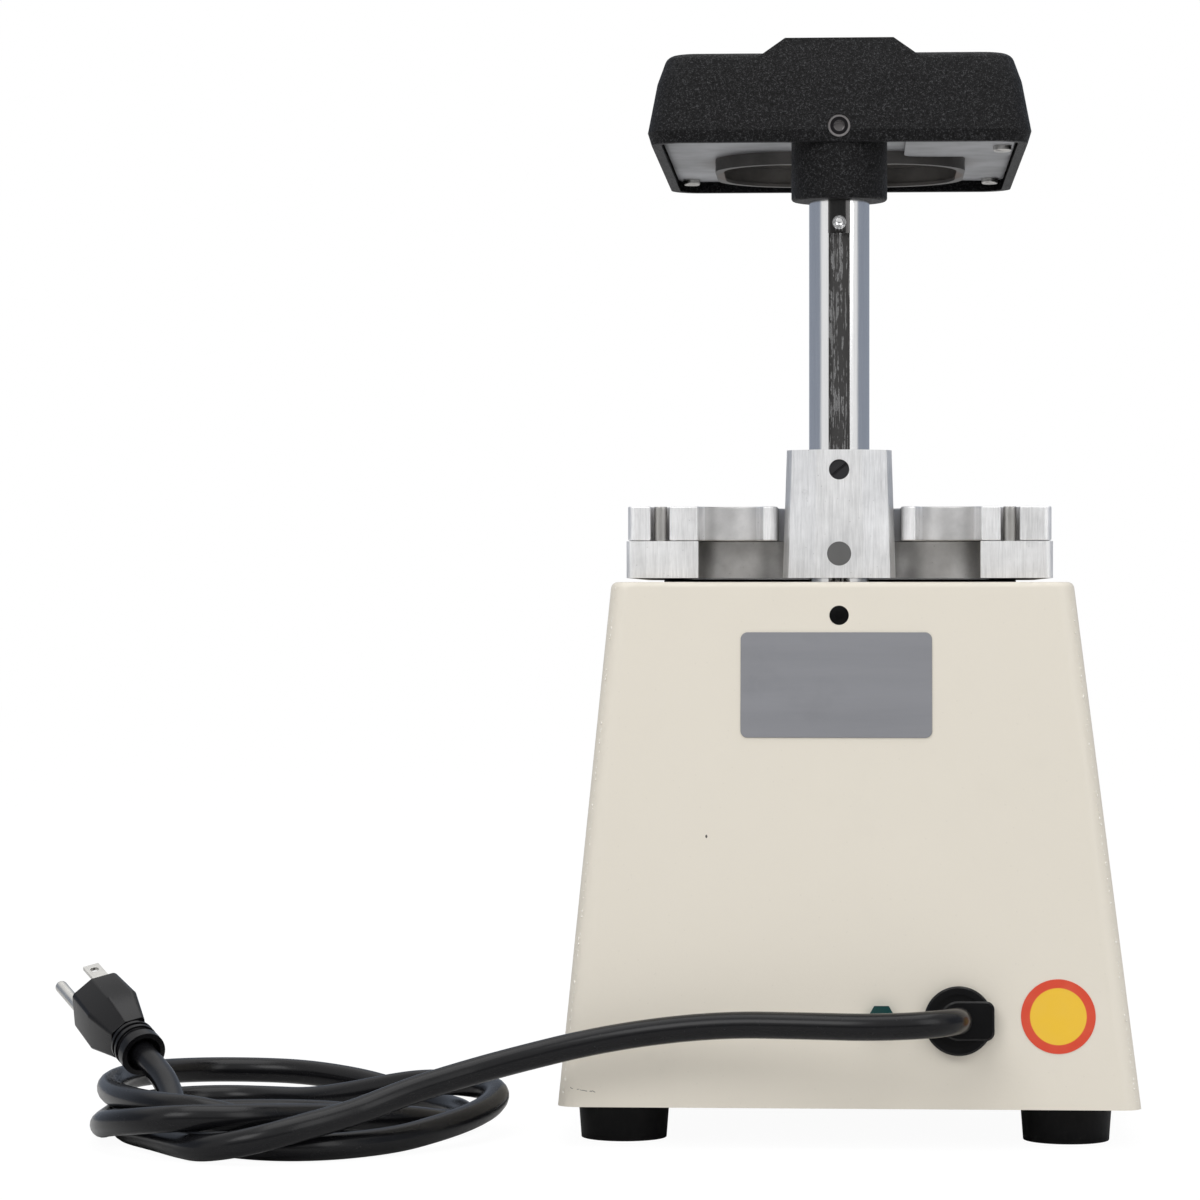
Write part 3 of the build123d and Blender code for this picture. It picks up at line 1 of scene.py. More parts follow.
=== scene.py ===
import json
import math
import bmesh
import bpy
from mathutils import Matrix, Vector


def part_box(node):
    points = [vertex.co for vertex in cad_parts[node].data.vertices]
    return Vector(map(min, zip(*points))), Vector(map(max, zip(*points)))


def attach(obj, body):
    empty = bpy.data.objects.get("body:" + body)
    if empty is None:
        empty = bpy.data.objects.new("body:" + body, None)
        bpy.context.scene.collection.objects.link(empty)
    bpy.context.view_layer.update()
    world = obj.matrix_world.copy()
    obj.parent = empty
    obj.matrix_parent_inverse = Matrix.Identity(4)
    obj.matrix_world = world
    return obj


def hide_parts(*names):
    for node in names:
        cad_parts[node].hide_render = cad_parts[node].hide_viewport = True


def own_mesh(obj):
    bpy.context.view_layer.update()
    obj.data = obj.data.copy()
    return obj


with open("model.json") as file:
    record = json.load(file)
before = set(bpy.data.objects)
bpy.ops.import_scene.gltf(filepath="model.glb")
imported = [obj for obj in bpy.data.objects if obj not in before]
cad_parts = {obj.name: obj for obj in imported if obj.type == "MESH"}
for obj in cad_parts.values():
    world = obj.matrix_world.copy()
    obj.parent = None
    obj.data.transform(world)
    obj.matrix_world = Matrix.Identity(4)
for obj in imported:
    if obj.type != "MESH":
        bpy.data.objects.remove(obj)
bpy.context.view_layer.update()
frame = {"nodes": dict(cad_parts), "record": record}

bodyOf = {node: body for body, members in frame["record"]["behaviour"]["bodies"].items() for node in members}
slotOf = {part["node"]: part["material_slot"] for part in frame["record"]["subparts"]}
mm = 0.001
postMiddle = 0.0034  # x of the post, the hub and the heater


# Shader values that can be added, multiplied and compared in plain Python

class Value:
    def __init__(self, finish, socket):
        self.finish = finish
        self.socket = socket

    def reckon(self, operation, *others, clamp=False):
        node = self.finish.tree.nodes.new("ShaderNodeMath")
        node.operation = operation
        node.use_clamp = clamp
        for place, other in enumerate(others):
            self.finish.join(other, node.inputs[place])
        return Value(self.finish, node.outputs[0])

    def __add__(self, other):
        return self.reckon("ADD", self, other)

    __radd__ = __add__

    def __sub__(self, other):
        return self.reckon("SUBTRACT", self, other)

    def __rsub__(self, other):
        return self.reckon("SUBTRACT", other, self)

    def __mul__(self, other):
        return self.reckon("MULTIPLY", self, other)

    __rmul__ = __mul__

    def __truediv__(self, other):
        return self.reckon("DIVIDE", self, other)

    def __rtruediv__(self, other):
        return self.reckon("DIVIDE", other, self)

    def __pow__(self, other):
        return self.reckon("POWER", self, other)

    def __gt__(self, other):
        return self.reckon("GREATER_THAN", self, other)

    def __lt__(self, other):
        return self.reckon("LESS_THAN", self, other)

    def __abs__(self):
        return self.reckon("ABSOLUTE", self)

    def held(self):
        # kept between 0 and 1
        return self.reckon("ADD", self, 0.0, clamp=True)

    def step(self, low, high):
        # 0 below low, 1 above high, smooth between
        return self.finish.node("MapRange", {"interpolation_type": "SMOOTHSTEP"}, Value=self,
                                **{"From Min": low, "From Max": high})


class Finish:
    # one material: its shader, its node tree and the place on the piece
    def __init__(self, name, **fixed):
        self.material = bpy.data.materials.new(name)
        self.material.use_nodes = True
        self.tree = self.material.node_tree
        self.shader = next(node for node in self.tree.nodes if node.type == "BSDF_PRINCIPLED")
        self.place = Value(self, self.tree.nodes.new("ShaderNodeTexCoord").outputs["Object"])
        for socket, value in fixed.items():
            self.set(socket, value)

    def join(self, value, socket):
        if isinstance(value, Value):
            self.tree.links.new(value.socket, socket)
        elif hasattr(value, "__len__") and len(value) == 3 and socket.type == "RGBA":
            socket.default_value = (*value, 1.0)
        else:
            socket.default_value = value

    def set(self, name, value):
        self.join(value, self.shader.inputs[name])
        return self

    def axes(self):
        made = self.tree.nodes.new("ShaderNodeSeparateXYZ")
        self.join(self.place, made.inputs[0])
        return [Value(self, made.outputs[index]) for index in range(3)]

    def node(self, kind, settings=None, output=0, **inputs):
        made = self.tree.nodes.new("ShaderNode" + kind)
        for key, value in (settings or {}).items():
            setattr(made, key, value)
        for key, value in inputs.items():
            self.join(value, made.inputs[key])
        return Value(self, made.outputs[output])

    def stretched(self, x, y, z):
        return self.node("Mapping", Vector=self.place, Scale=(x, y, z))

    def noise(self, scale, detail=3.0, roughness=0.5, where=None):
        return self.node("TexNoise", Vector=where or self.place, Scale=scale, Detail=detail,
                         Roughness=roughness)

    def cells(self, scale):
        return self.node("TexVoronoi", Vector=self.place, Scale=scale)

    def mix(self, factor, one, two):
        made = self.tree.nodes.new("ShaderNodeMix")
        made.data_type = "RGBA"
        self.join(factor, made.inputs[0])
        self.join(one, made.inputs[6])
        self.join(two, made.inputs[7])
        return Value(self, made.outputs[2])

    def bump(self, height, strength, distance):
        normal = self.node("Bump", Height=height, Strength=strength, Distance=distance)
        return self.set("Normal", normal)


class Surround(Finish):
    # the same for a world, where the place is the direction looked in
    def __init__(self, name):
        self.world = bpy.data.worlds.new(name)
        self.world.use_nodes = True
        self.tree = self.world.node_tree
        self.shader = self.tree.nodes["Background"]
        self.place = Value(self, self.tree.nodes.new("ShaderNodeTexCoord").outputs["Generated"])


def shade(colour, share):
    return tuple(channel * share for channel in colour)


def distance(along, across):
    return (along ** 2 + across ** 2) ** 0.5


enamelSettings = {"colour": (0.765, 0.715, 0.622), "speck": (0.0508, 0.1104), "speckRadius": 0.0006,
                  "scratch": (0.0990, 0.0212, 0.0901, 0.0198), "scratchHalf": 0.00016, "darkerBelow": 0.060}


def enamel(name, colour, speck, scratch):
    # thick spray coat with a faint orange peel, a little grime and two marks on the back
    made = Finish(name, **{"Coat Weight": 0.15, "Coat Roughness": 0.25})
    x, y, z = made.axes()
    cloud = made.noise(7, 4).step(0.35, 0.7)
    grime = made.noise(38, 6, 0.65).step(0.56, 0.78)
    # the same patches grow darker towards the bottom of the housing
    foot = 1 - z.step(0.012, enamelSettings["darkerBelow"])
    base = made.mix(cloud, shade(colour, 0.985), shade(colour, 1.01))
    base = made.mix(grime * (0.05 + foot * 0.10), base, shade(colour, 0.74))
    dust = made.cells(260) < 0.07
    base = made.mix(dust * 0.10, base, shade(colour, 0.5))
    back = y > 0.09
    dot = (distance((x - speck[0]) * 1.6, z - speck[1]) < enamelSettings["speckRadius"]) * back
    along = (x - scratch[0]) / (scratch[2] - scratch[0])
    wave = made.noise(420, 2) * 0.0022 - 0.0011
    off = abs(z - scratch[1] - along * (scratch[3] - scratch[1]) + wave)
    broken = made.noise(600, 2) > 0.42
    line = (off < enamelSettings["scratchHalf"]) * (along > 0) * (along < 1) * back * broken
    base = made.mix(line * 0.75, base, (0.10, 0.09, 0.08))
    made.set("Base Color", made.mix(dot, base, (0.07, 0.06, 0.055)))
    made.set("Roughness", 0.42 + made.noise(60, 3) * 0.12)
    return made.bump(made.noise(700, 2) + made.noise(160, 2) * 0.8, 0.06, 0.0004)


def brushedMetal(name, colour, rough, along, metal=1.0, grime=0.25, grimeColour=(0.05, 0.045, 0.04)):
    # fine lines run along the axis whose stretch is small
    made = Finish(name)
    lines = made.noise(140, 4, 0.6, made.stretched(*along))
    stain = made.noise(26, 5, 0.62).step(0.5, 0.74)
    base = made.mix(lines, shade(colour, 0.86), shade(colour, 1.08))
    made.set("Base Color", made.mix(stain * grime, base, grimeColour))
    made.set("Metallic", metal - stain * grime * 0.5)
    made.set("Roughness", rough + lines * 0.14 + stain * 0.12)
    return made.bump(lines, 0.12, 0.0004)


castingSettings = {"sanded": (0.90, 0.90, 0.905), "cast": (0.66, 0.655, 0.655), "sandedFrom": 0.0915,
                   "recessFrom": 0.056, "recessFull": 0.072, "recessTop": 0.2295, "recessHalf": 0.0545}


def sandedCasting(name, sanded, cast, sandedFrom):
    # cast aluminium: dull skin, painted shade in the recesses beside the hub with a painted highlight across
    # their middle, and a belt-sanded back
    made = Finish(name)
    x, y, z = made.axes()
    back = y.step(sandedFrom - 0.0006, sandedFrom)
    lines = made.noise(1500, 3, 0.75, made.stretched(1, 1, 0.05))
    broad = made.noise(230, 4, 0.6, made.stretched(1, 1, 0.16))
    patch = made.noise(46, 5, 0.6)
    shine = (lines - 0.5) * 1.2 + (broad - 0.5) * 0.7 + (patch - 0.5) * 1.3
    level = (0.55 + shine).held()
    skin = made.mix((0.5 + (patch - 0.5) * 1.3).held(), shade(cast, 0.80), shade(cast, 1.14))
    off = abs(x - postMiddle)
    # painted shade: the recesses beside the hub are painted darker, as the shade that falls in them
    paintedRecessShade = y.step(castingSettings["recessFrom"], castingSettings["recessFull"])
    paintedRecessShade = paintedRecessShade * (z < castingSettings["recessTop"]) * (off < castingSettings["recessHalf"])
    paintedRecessShade = paintedRecessShade * (1 - y.step(sandedFrom - 0.003, sandedFrom))
    paintedRecessHighlight = off.step(0.026, 0.033) * (1 - off.step(0.040, 0.051))  # painted highlight in a recess's middle, where light falls on its scooped wall
    skin = made.mix(paintedRecessShade * (0.75 - paintedRecessHighlight * 0.55 + (0.5 - patch) * 1.3).held(), skin, shade(cast, 0.36))
    base = made.mix(back, skin, made.mix(level, shade(sanded, 0.66), shade(sanded, 1.12)))
    soot = made.noise(95, 6, 0.7).step(0.62, 0.80)
    nick = (made.cells(330) < 0.06) * 0.35
    made.set("Base Color", made.mix((soot * 0.25 + nick).held(), base, (0.16, 0.16, 0.16)))
    made.set("Metallic", 0.80 - soot * 0.2)
    made.set("Roughness", 0.42 + lines * 0.14 + soot * 0.15 - back * 0.06)
    return made.bump(lines * back * 0.8 + broad * 0.4 + patch * 0.5, 0.26, 0.0005)


def sandCasting(name, colour):
    # black textured paint: dense fine grains that catch the light one by one, with a painted highlight on
    # their tops and painted shade in the pits
    made = Finish(name, **{"Specular IOR Level": 0.12})
    grain = made.noise(2500, 2, 0.6)
    lump = made.noise(1000, 3, 0.6)
    cloud = made.noise(18, 3).step(0.3, 0.75)
    # painted highlight: the grain tops are painted paler
    paintedPaleGrainTops = (grain * 0.62 + lump * 0.38).step(0.50, 0.66)
    # painted shade: the pits between the grains are painted darker
    paintedPitShade = (lump * 0.7 + grain * 0.3).step(0.34, 0.48)
    base = made.mix(cloud, shade(colour, 0.85), shade(colour, 1.15))
    base = made.mix(paintedPitShade, shade(colour, 0.25), base)
    made.set("Base Color", made.mix(paintedPaleGrainTops * 0.6, base, (0.085, 0.085, 0.09)))
    made.set("Roughness", 0.46 + cloud * 0.06 - paintedPaleGrainTops * 0.16)
    return made.bump(grain * 0.7 + lump, 0.8, 0.0005)


def moulded(name, colour, rough, grain=520, depth=0.0002, coat=0.0, level=0.4):
    # plastic and rubber with a fine moulded grain and a little dust
    made = Finish(name, **{"Coat Weight": coat, "Coat Roughness": 0.12, "Specular IOR Level": level})
    cloud = made.noise(30, 4).step(0.3, 0.75)
    dust = made.noise(210, 5, 0.7).step(0.62, 0.8)
    base = made.mix(cloud, shade(colour, 0.9), shade(colour, 1.12))
    made.set("Base Color", made.mix(dust * 0.05, base, (0.16, 0.155, 0.15)))
    made.set("Roughness", rough + cloud * 0.08 + dust * 0.1)
    return made.bump(made.noise(grain, 3, 0.6), 0.25, depth)


def jacket(name, colour):
    # extruded cord jacket: nearly smooth, with faint long ripples and scuffs
    made = Finish(name, **{"Specular IOR Level": 0.22})
    ripple = made.noise(150, 3, 0.5)
    scuff = made.noise(520, 5, 0.7).step(0.60, 0.76)
    base = made.mix(ripple, shade(colour, 0.85), shade(colour, 1.2))
    made.set("Base Color", made.mix(scuff * 0.10, base, (0.10, 0.10, 0.105)))
    made.set("Roughness", 0.20 + ripple * 0.07 + scuff * 0.12)
    return made.bump(ripple * 0.6 + made.noise(900, 2) * 0.15, 0.11, 0.0005)


def socketScrew(middle, height, radius):
    # blackened set screw; its rim and the mouth of its socket are painted bright, a painted highlight
    made = Finish("headScrewSteel", Metallic=1.0)
    x, z = made.axes()[::2]
    out = distance(x - middle, z - height)
    rim = out.step(radius * 0.74, radius * 0.82)
    mouth = 1 - out.step(radius * 0.40, radius * 0.52)
    # painted highlight on the rim and on the mouth of the socket
    paintedBrightRimAndMouth = (rim * (0.75 + made.noise(900, 3) * 0.4) + mouth * 0.5).held()
    made.set("Base Color", made.mix(paintedBrightRimAndMouth, (0.025, 0.024, 0.026), (0.42, 0.40, 0.40)))
    made.set("Roughness", 0.26 + made.noise(600, 3) * 0.12)
    return made.bump(made.noise(700, 3), 0.1, 0.0003)


postSettings = {"floor": 0.092, "top": 0.3283, "keywayHalf": 0.0042, "aboveHalf": 0.0040,
                "rivetUp": 0.0039, "rivetRadius": 0.0025}


def chromedPost(middle, floor, top):
    # bright plating; the keyway's floor is dark with old grease, scraped in long lines
    made = Finish("postChrome", Metallic=1.0)
    x, y, z = made.axes()
    streak = made.noise(900, 4, 0.65, made.stretched(1, 1, 0.04))
    blot = made.noise(650, 5, 0.7, made.stretched(1, 1, 0.25))
    off = abs(x - middle)
    rivet = distance(off, z - top - postSettings["rivetUp"]) < postSettings["rivetRadius"]
    above = (z > top) * (y > floor) * (off < postSettings["aboveHalf"]) * (1 - rivet)
    inside = (off < postSettings["keywayHalf"]) * (y > floor - 0.001) * (y < floor + 0.0007) * (z < top)
    scrape = (streak.step(0.49, 0.56) * blot.step(0.47, 0.56)).held()
    grease = (inside * (1 - scrape)).held()
    smear = (1 - inside) * made.noise(60, 4, 0.6, made.stretched(1, 1, 0.2)).step(0.58, 0.74) * 0.10
    base = made.mix(streak, (0.66, 0.66, 0.67), (0.80, 0.80, 0.80))
    dirt = (grease * 0.93 + above * 0.9 + smear).held()
    made.set("Base Color", made.mix(dirt, base, (0.028, 0.026, 0.025)))
    made.set("Roughness", 0.12 + streak * 0.07 + grease * 0.3)
    return made.bump(streak + blot * inside, 0.08, 0.0003)


stickerSettings = {"yellowRadius": 0.0100, "yellow": (0.87, 0.53, 0.018), "orange": (0.68, 0.038, 0.008)}


def roundSticker(centre, inner):
    # plain disc: orange-red ring round a yellow middle
    made = Finish("roundSticker")
    x, z = made.axes()[::2]
    across = distance(x - centre[0], z - centre[2])
    ring = across.step(inner - 0.0002, inner + 0.0002)
    base = made.mix(ring, stickerSettings["yellow"], stickerSettings["orange"])
    made.set("Base Color", made.mix(made.noise(160, 4) * 0.10, base, (0.7, 0.5, 0.3)))
    made.set("Roughness", 0.42 + made.noise(300, 2) * 0.1)
    return made.bump(made.noise(500, 3), 0.1, 0.0002)


def laminated():
    # motor iron: thin stacked sheets, two to the millimetre
    made = Finish("ironCore", Metallic=0.8)
    stack = made.axes()[2] * 2000
    sheets = abs(stack.reckon("FRACT", stack) - 0.5)
    made.set("Base Color", made.mix(made.noise(80, 4), (0.16, 0.15, 0.15), (0.30, 0.28, 0.27)))
    made.set("Roughness", 0.45 + sheets * 0.2)
    return made.bump(sheets, 0.3, 0.0003)


def glazed():
    # heater ceramic, burnt brown in places
    made = Finish("porcelain", **{"Coat Weight": 0.2, "Coat Roughness": 0.2})
    burn = made.noise(45, 5, 0.6).step(0.40, 0.72)
    made.set("Base Color", made.mix(burn * 0.6, (0.30, 0.275, 0.24), (0.10, 0.075, 0.055)))
    made.set("Roughness", 0.5 + made.noise(120, 3) * 0.2)
    return made.bump(made.noise(400, 4), 0.2, 0.0005)


heatSettings = {"middle": (postMiddle, -0.02), "plate": (0.040, 0.058), "ring": (0.0470, 0.0482)}


def heatedSheet(name, colour, rough, low, high):
    # dull sheet, browned by heat: the brown grows between two distances from the ring's middle
    made = Finish(name, Metallic=0.75)
    x, y = made.axes()[:2]
    away = distance(x - heatSettings["middle"][0], y - heatSettings["middle"][1])
    heat = 1 - away.step(low, high)
    cloud = made.noise(22, 5, 0.6)
    rub = made.noise(180, 4, 0.6, made.stretched(0.15, 1, 1))
    base = made.mix(cloud.step(0.3, 0.7), shade(colour, 0.62), shade(colour, 1.30))
    made.set("Base Color", made.mix((heat * (0.35 + cloud * 0.8)).held(), base, (0.085, 0.055, 0.038)))
    made.set("Roughness", rough + cloud * 0.2 + rub * 0.1)
    return made.bump(rub, 0.1, 0.0004)


stickerMiddle = [(low + high) / 2 for low, high in zip(*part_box("round_sticker"))]
finishes = {
    "cream_enamel": enamel("creamEnamel", enamelSettings["colour"], enamelSettings["speck"],
                           enamelSettings["scratch"]),
    "plated_sheet": brushedMetal("platedSheet", (0.62, 0.61, 0.58), 0.34, (1, 0.08, 1), 0.9),
    "steel": brushedMetal("turnedSteel", (0.56, 0.55, 0.53), 0.26, (0.1, 1, 1)),
    "black_oxide": brushedMetal("blackOxide", (0.030, 0.030, 0.033), 0.30, (0.3, 1, 1), 0.5, 0.3,
                                (0.01, 0.01, 0.01)),
    "pin_steel": brushedMetal("pinSteel", (0.15, 0.15, 0.148), 0.38, (1, 1, 0.1), 0.6, 0.25),
    "black_rubber": moulded("blackRubber", (0.006, 0.006, 0.0065), 0.5, 700, 0.0003, 0.0, 0.15),
    "post_chrome": chromedPost(postMiddle, postSettings["floor"], postSettings["top"]),
    "cast_aluminium": sandedCasting("castAluminium", castingSettings["sanded"], castingSettings["cast"],
                                    castingSettings["sandedFrom"]),
    "black_casting": sandCasting("blackCasting", (0.0045, 0.0045, 0.005)),
    "reflector_sheet": heatedSheet("reflectorSheet", (0.33, 0.335, 0.35), 0.30, *heatSettings["plate"]),
    "porcelain": glazed(),
    "heating_wire": brushedMetal("heatingWire", (0.20, 0.17, 0.145), 0.5, (1, 1, 1), 0.85),
    "lead_sleeve": moulded("leadSleeve", (0.46, 0.44, 0.39), 0.7, 900, 0.0005),
    "panel_black": moulded("panelBlack", (0.03, 0.03, 0.032), 0.4, 500, 0.0002, 0.1),
    "switch_black": moulded("switchBlack", (0.018, 0.018, 0.02), 0.3, 400, 0.0001, 0.2),
    "label_grey": brushedMetal("labelGrey", (0.250, 0.254, 0.274), 0.42, (0.08, 1, 1), 0.2, 0.12),
    "sticker_orange": roundSticker(stickerMiddle, stickerSettings["yellowRadius"]),
    "earth_green": brushedMetal("earthGreen", (0.006, 0.062, 0.060), 0.26, (1, 1, 1), 0.5, 0.3),
    "relief_black": moulded("reliefBlack", (0.002, 0.002, 0.0024), 0.16, 300, 0.0001, 0.0, 0.30),
    "knob_black": moulded("knobBlack", (0.012, 0.012, 0.013), 0.16, 300, 0.00008, 0.6),
    "cord_black": jacket("cordBlack", (0.006, 0.006, 0.007)),
    "pin_metal": brushedMetal("pinMetal", (0.62, 0.61, 0.585), 0.28, (1, 1, 0.1)),
    "iron_core": laminated(),
}
dropFinish = Finish("creamDrops", **{"Coat Weight": 1.0, "Coat Roughness": 0.06})
# the drops' cream is painted paler than the coat round them: their own colour plus a painted highlight
dropCreamAndHighlight = dropFinish.mix(dropFinish.noise(900, 2), (0.86, 0.82, 0.74), (0.95, 0.93, 0.88))
dropFinish.set("Base Color", dropCreamAndHighlight)
dropFinish.set("Roughness", 0.16 + dropFinish.noise(500, 2) * 0.1)
ringFinish = heatedSheet("ringSheet", (0.10, 0.096, 0.092), 0.34, *heatSettings["ring"])
screwLow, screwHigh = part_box("head_set_screw")
screwFinish = socketScrew((screwLow[0] + screwHigh[0]) / 2, (screwLow[2] + screwHigh[2]) / 2,
                          (screwHigh[0] - screwLow[0]) / 2)
print("finishes made:", len(finishes))


def link(piece):
    bpy.context.scene.collection.objects.link(piece)
    return piece


def smooth(mesh, degrees):
    # smooth faces, with the edges sharper than the angle kept crisp
    shape = bmesh.new()
    shape.from_mesh(mesh)
    for face in shape.faces:
        face.smooth = True
    for edge in shape.edges:
        edge.smooth = not (edge.is_manifold and edge.calc_face_angle(0) > math.radians(degrees))
    shape.to_mesh(mesh)
    shape.free()


def settle(piece, node=None, body=None, slot=None):
    # a finished piece takes its body, the node it stands for and its finish
    if node:
        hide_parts(node)
    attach(piece, body or bodyOf[node])
    slot = slot or slotOf[node]
    if not piece.data.materials:
        piece.data.materials.append(finishes[slot].material)
    return piece


def applied(piece, name):
    # what the modifiers make becomes the piece's own mesh
    bpy.context.view_layer.update()
    done = bpy.data.meshes.new_from_object(piece.evaluated_get(bpy.context.evaluated_depsgraph_get()))
    piece.modifiers.clear()
    piece.data = done
    done.name = name


dressSettings = {"join": 2e-6, "flatWithin": 0.6, "breakOver": 28, "smoothUnder": 32, "weight": 90}


def dress(node, width, segments=2, finish=None):
    # the node's own shape, joined up, with its sharp edges broken as on the real piece
    mesh = frame["nodes"][node].data.copy()
    mesh.name = node + "Skin"
    shape = bmesh.new()
    shape.from_mesh(mesh)
    bmesh.ops.remove_doubles(shape, verts=shape.verts, dist=dressSettings["join"])
    if width:
        bmesh.ops.dissolve_limit(shape, angle_limit=math.radians(dressSettings["flatWithin"]),
                                 verts=shape.verts, edges=shape.edges)
    bmesh.ops.recalc_face_normals(shape, faces=shape.faces)
    shape.to_mesh(mesh)
    shape.free()
    mesh.materials.clear()
    piece = link(bpy.data.objects.new(node + "Dressed", mesh))
    if width:
        edge = piece.modifiers.new("edge", "BEVEL")
        edge.width = width
        edge.segments = segments
        edge.limit_method = "ANGLE"
        edge.angle_limit = math.radians(dressSettings["breakOver"])
        edge.harden_normals = False
        applied(piece, node + "Skin")
    smooth(piece.data, dressSettings["smoothUnder"])
    weigh = piece.modifiers.new("weigh", "WEIGHTED_NORMAL")
    weigh.keep_sharp = True
    weigh.weight = dressSettings["weight"]
    applied(piece, node + "Skin")
    if finish:
        piece.data.materials.append(finish.material)
    return settle(piece, node)


# Camera

cameraSettings = {"place": (-0.0013, 1.695, 0.195), "turn": 183.28, "lens": 132.0, "sensor": 36.0,
                  "nearest": 0.05}
camera = link(bpy.data.objects.new("camera", bpy.data.cameras.new("camera")))
camera.location = cameraSettings["place"]
camera.rotation_euler = (math.radians(90), 0, math.radians(cameraSettings["turn"]))
camera.data.lens = cameraSettings["lens"]
camera.data.sensor_width = cameraSettings["sensor"]
camera.data.clip_start = cameraSettings["nearest"]
bpy.context.scene.camera = camera


# Power cord: from the strain relief, along the back, three loose turns, then up into the plug

cordSettings = {
    "radius": 0.00475, "steps": 8, "facets": 7,
    "exit": [(-39, 133.652, 46.038), (-39, 143.098, 47.047)],
    "hang": [
        (-37.5, 152.5, 47.6), (-31.5, 159.5, 47.4), (-21, 163, 46.9), (-6, 163, 46.4), (12, 159, 46.4),
        (46, 149.5, 46), (85, 144.3, 40.6),
        (122, 147.5, 31.6), (145, 157, 25.5), (157, 162, 21.7), (168, 168, 17.6), (177, 175, 15.2),
    ],
    "innerTurn": [
        (188, 182.5, 12.8), (200, 187.5, 9.7), (213, 187, 6.8), (225, 181, 4.9), (234, 168, 4.75),
        (244, 151, 4.75), (258, 130, 4.75), (263, 111, 4.75), (259, 91, 4.75), (247, 76, 4.75),
        (228, 70, 4.75), (208, 68, 4.75), (190, 73, 4.75), (176, 86, 4.75), (170, 104, 4.75),
        (174, 123, 4.75), (187, 137, 4.75), (203, 145, 7), (216, 150, 12),
    ],
    "upperTurn": [
        (231, 148.5, 15), (247, 139, 15.2), (261, 118, 14.9), (270, 95, 14.6), (275, 70, 14.5),
        (274, 45, 14.4), (268, 22, 14), (258, 6, 13.2), (245, -4, 12.6), (228, -6, 12.3),
        (212, -3, 12), (196, 5, 11), (181, 14, 9.2), (166, 27, 6.3), (152, 45, 4.75),
        (143, 65, 4.75), (140, 87, 4.75), (146, 108, 5.8), (156, 124, 9), (168, 135, 10.5),
        (185, 148, 12.3), (194, 156, 13.3), (204, 167, 14.4),
    ],
    "outerTurn": [
        (215, 174, 14.8), (229, 177, 15), (241, 174.5, 14), (253, 164, 12), (263, 148, 9.5),
        (267.5, 128, 6.5), (270.5, 105, 4.75), (270.5, 80, 4.75), (270.5, 60, 4.75), (265, 41, 4.75),
        (253, 27, 4.75), (238, 21.5, 4.75), (221, 25, 4.75), (205, 36.5, 5.5), (189, 45, 8.5),
        (174, 50, 12), (160, 54, 14.6), (146, 60, 15.2), (134, 70, 14.8), (128, 86, 14),
        (130, 104, 11.2), (137, 123, 9), (147, 139, 7), (158, 152, 5.2), (172, 166, 4.75),
    ],
    "rise": [
        (185, 174.5, 4.75), (199, 176, 4.75), (213, 169.5, 4.75), (226, 156, 4.75), (236, 138, 4.75),
        (242, 118, 5.6), (245, 103, 8.6), (248.5, 90, 13), (252.5, 79, 17.4), (257.16, 69.54, 20.46),
        (266.52, 55.68, 27.12),
    ],
}
cordRoute = [point for stretch in ("exit", "hang", "innerTurn", "upperTurn", "outerTurn", "rise")
             for point in cordSettings[stretch]]


def splineOf(name, points, radius=0.0):
    curve = bpy.data.curves.new(name, "CURVE")
    curve.dimensions = "3D"
    curve.resolution_u = cordSettings["steps"]
    line = curve.splines.new("NURBS")
    line.points.add(len(points) - 1)
    for knot, point in zip(line.points, points):
        knot.co = (*(Vector(point) * mm), 1)
    line.order_u = 3  # passes close to its points without overshooting
    line.use_endpoint_u = True
    if radius:
        curve.bevel_depth = radius
        curve.bevel_resolution = cordSettings["facets"]
        curve.use_fill_caps = True
    return link(bpy.data.objects.new(name, curve))


def lengthOf(points):
    bare = splineOf("measuring", points)
    mesh = bpy.data.meshes.new_from_object(bare)
    total = sum((mesh.vertices[edge.vertices[0]].co - mesh.vertices[edge.vertices[1]].co).length
                for edge in mesh.edges)
    bpy.data.objects.remove(bare)
    return total


cordLength = lengthOf(cordRoute)
powerCord = splineOf("powerCord", cordRoute, cordSettings["radius"])
powerCord.data.materials.append(finishes["cord_black"].material)
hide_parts("power_cord", "cord_coil", "cord_tail")
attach(powerCord, "base")
print("cord length", round(cordLength, 4))


# Geometry Nodes: a tree built here, run once on a bare host, and kept as a plain mesh

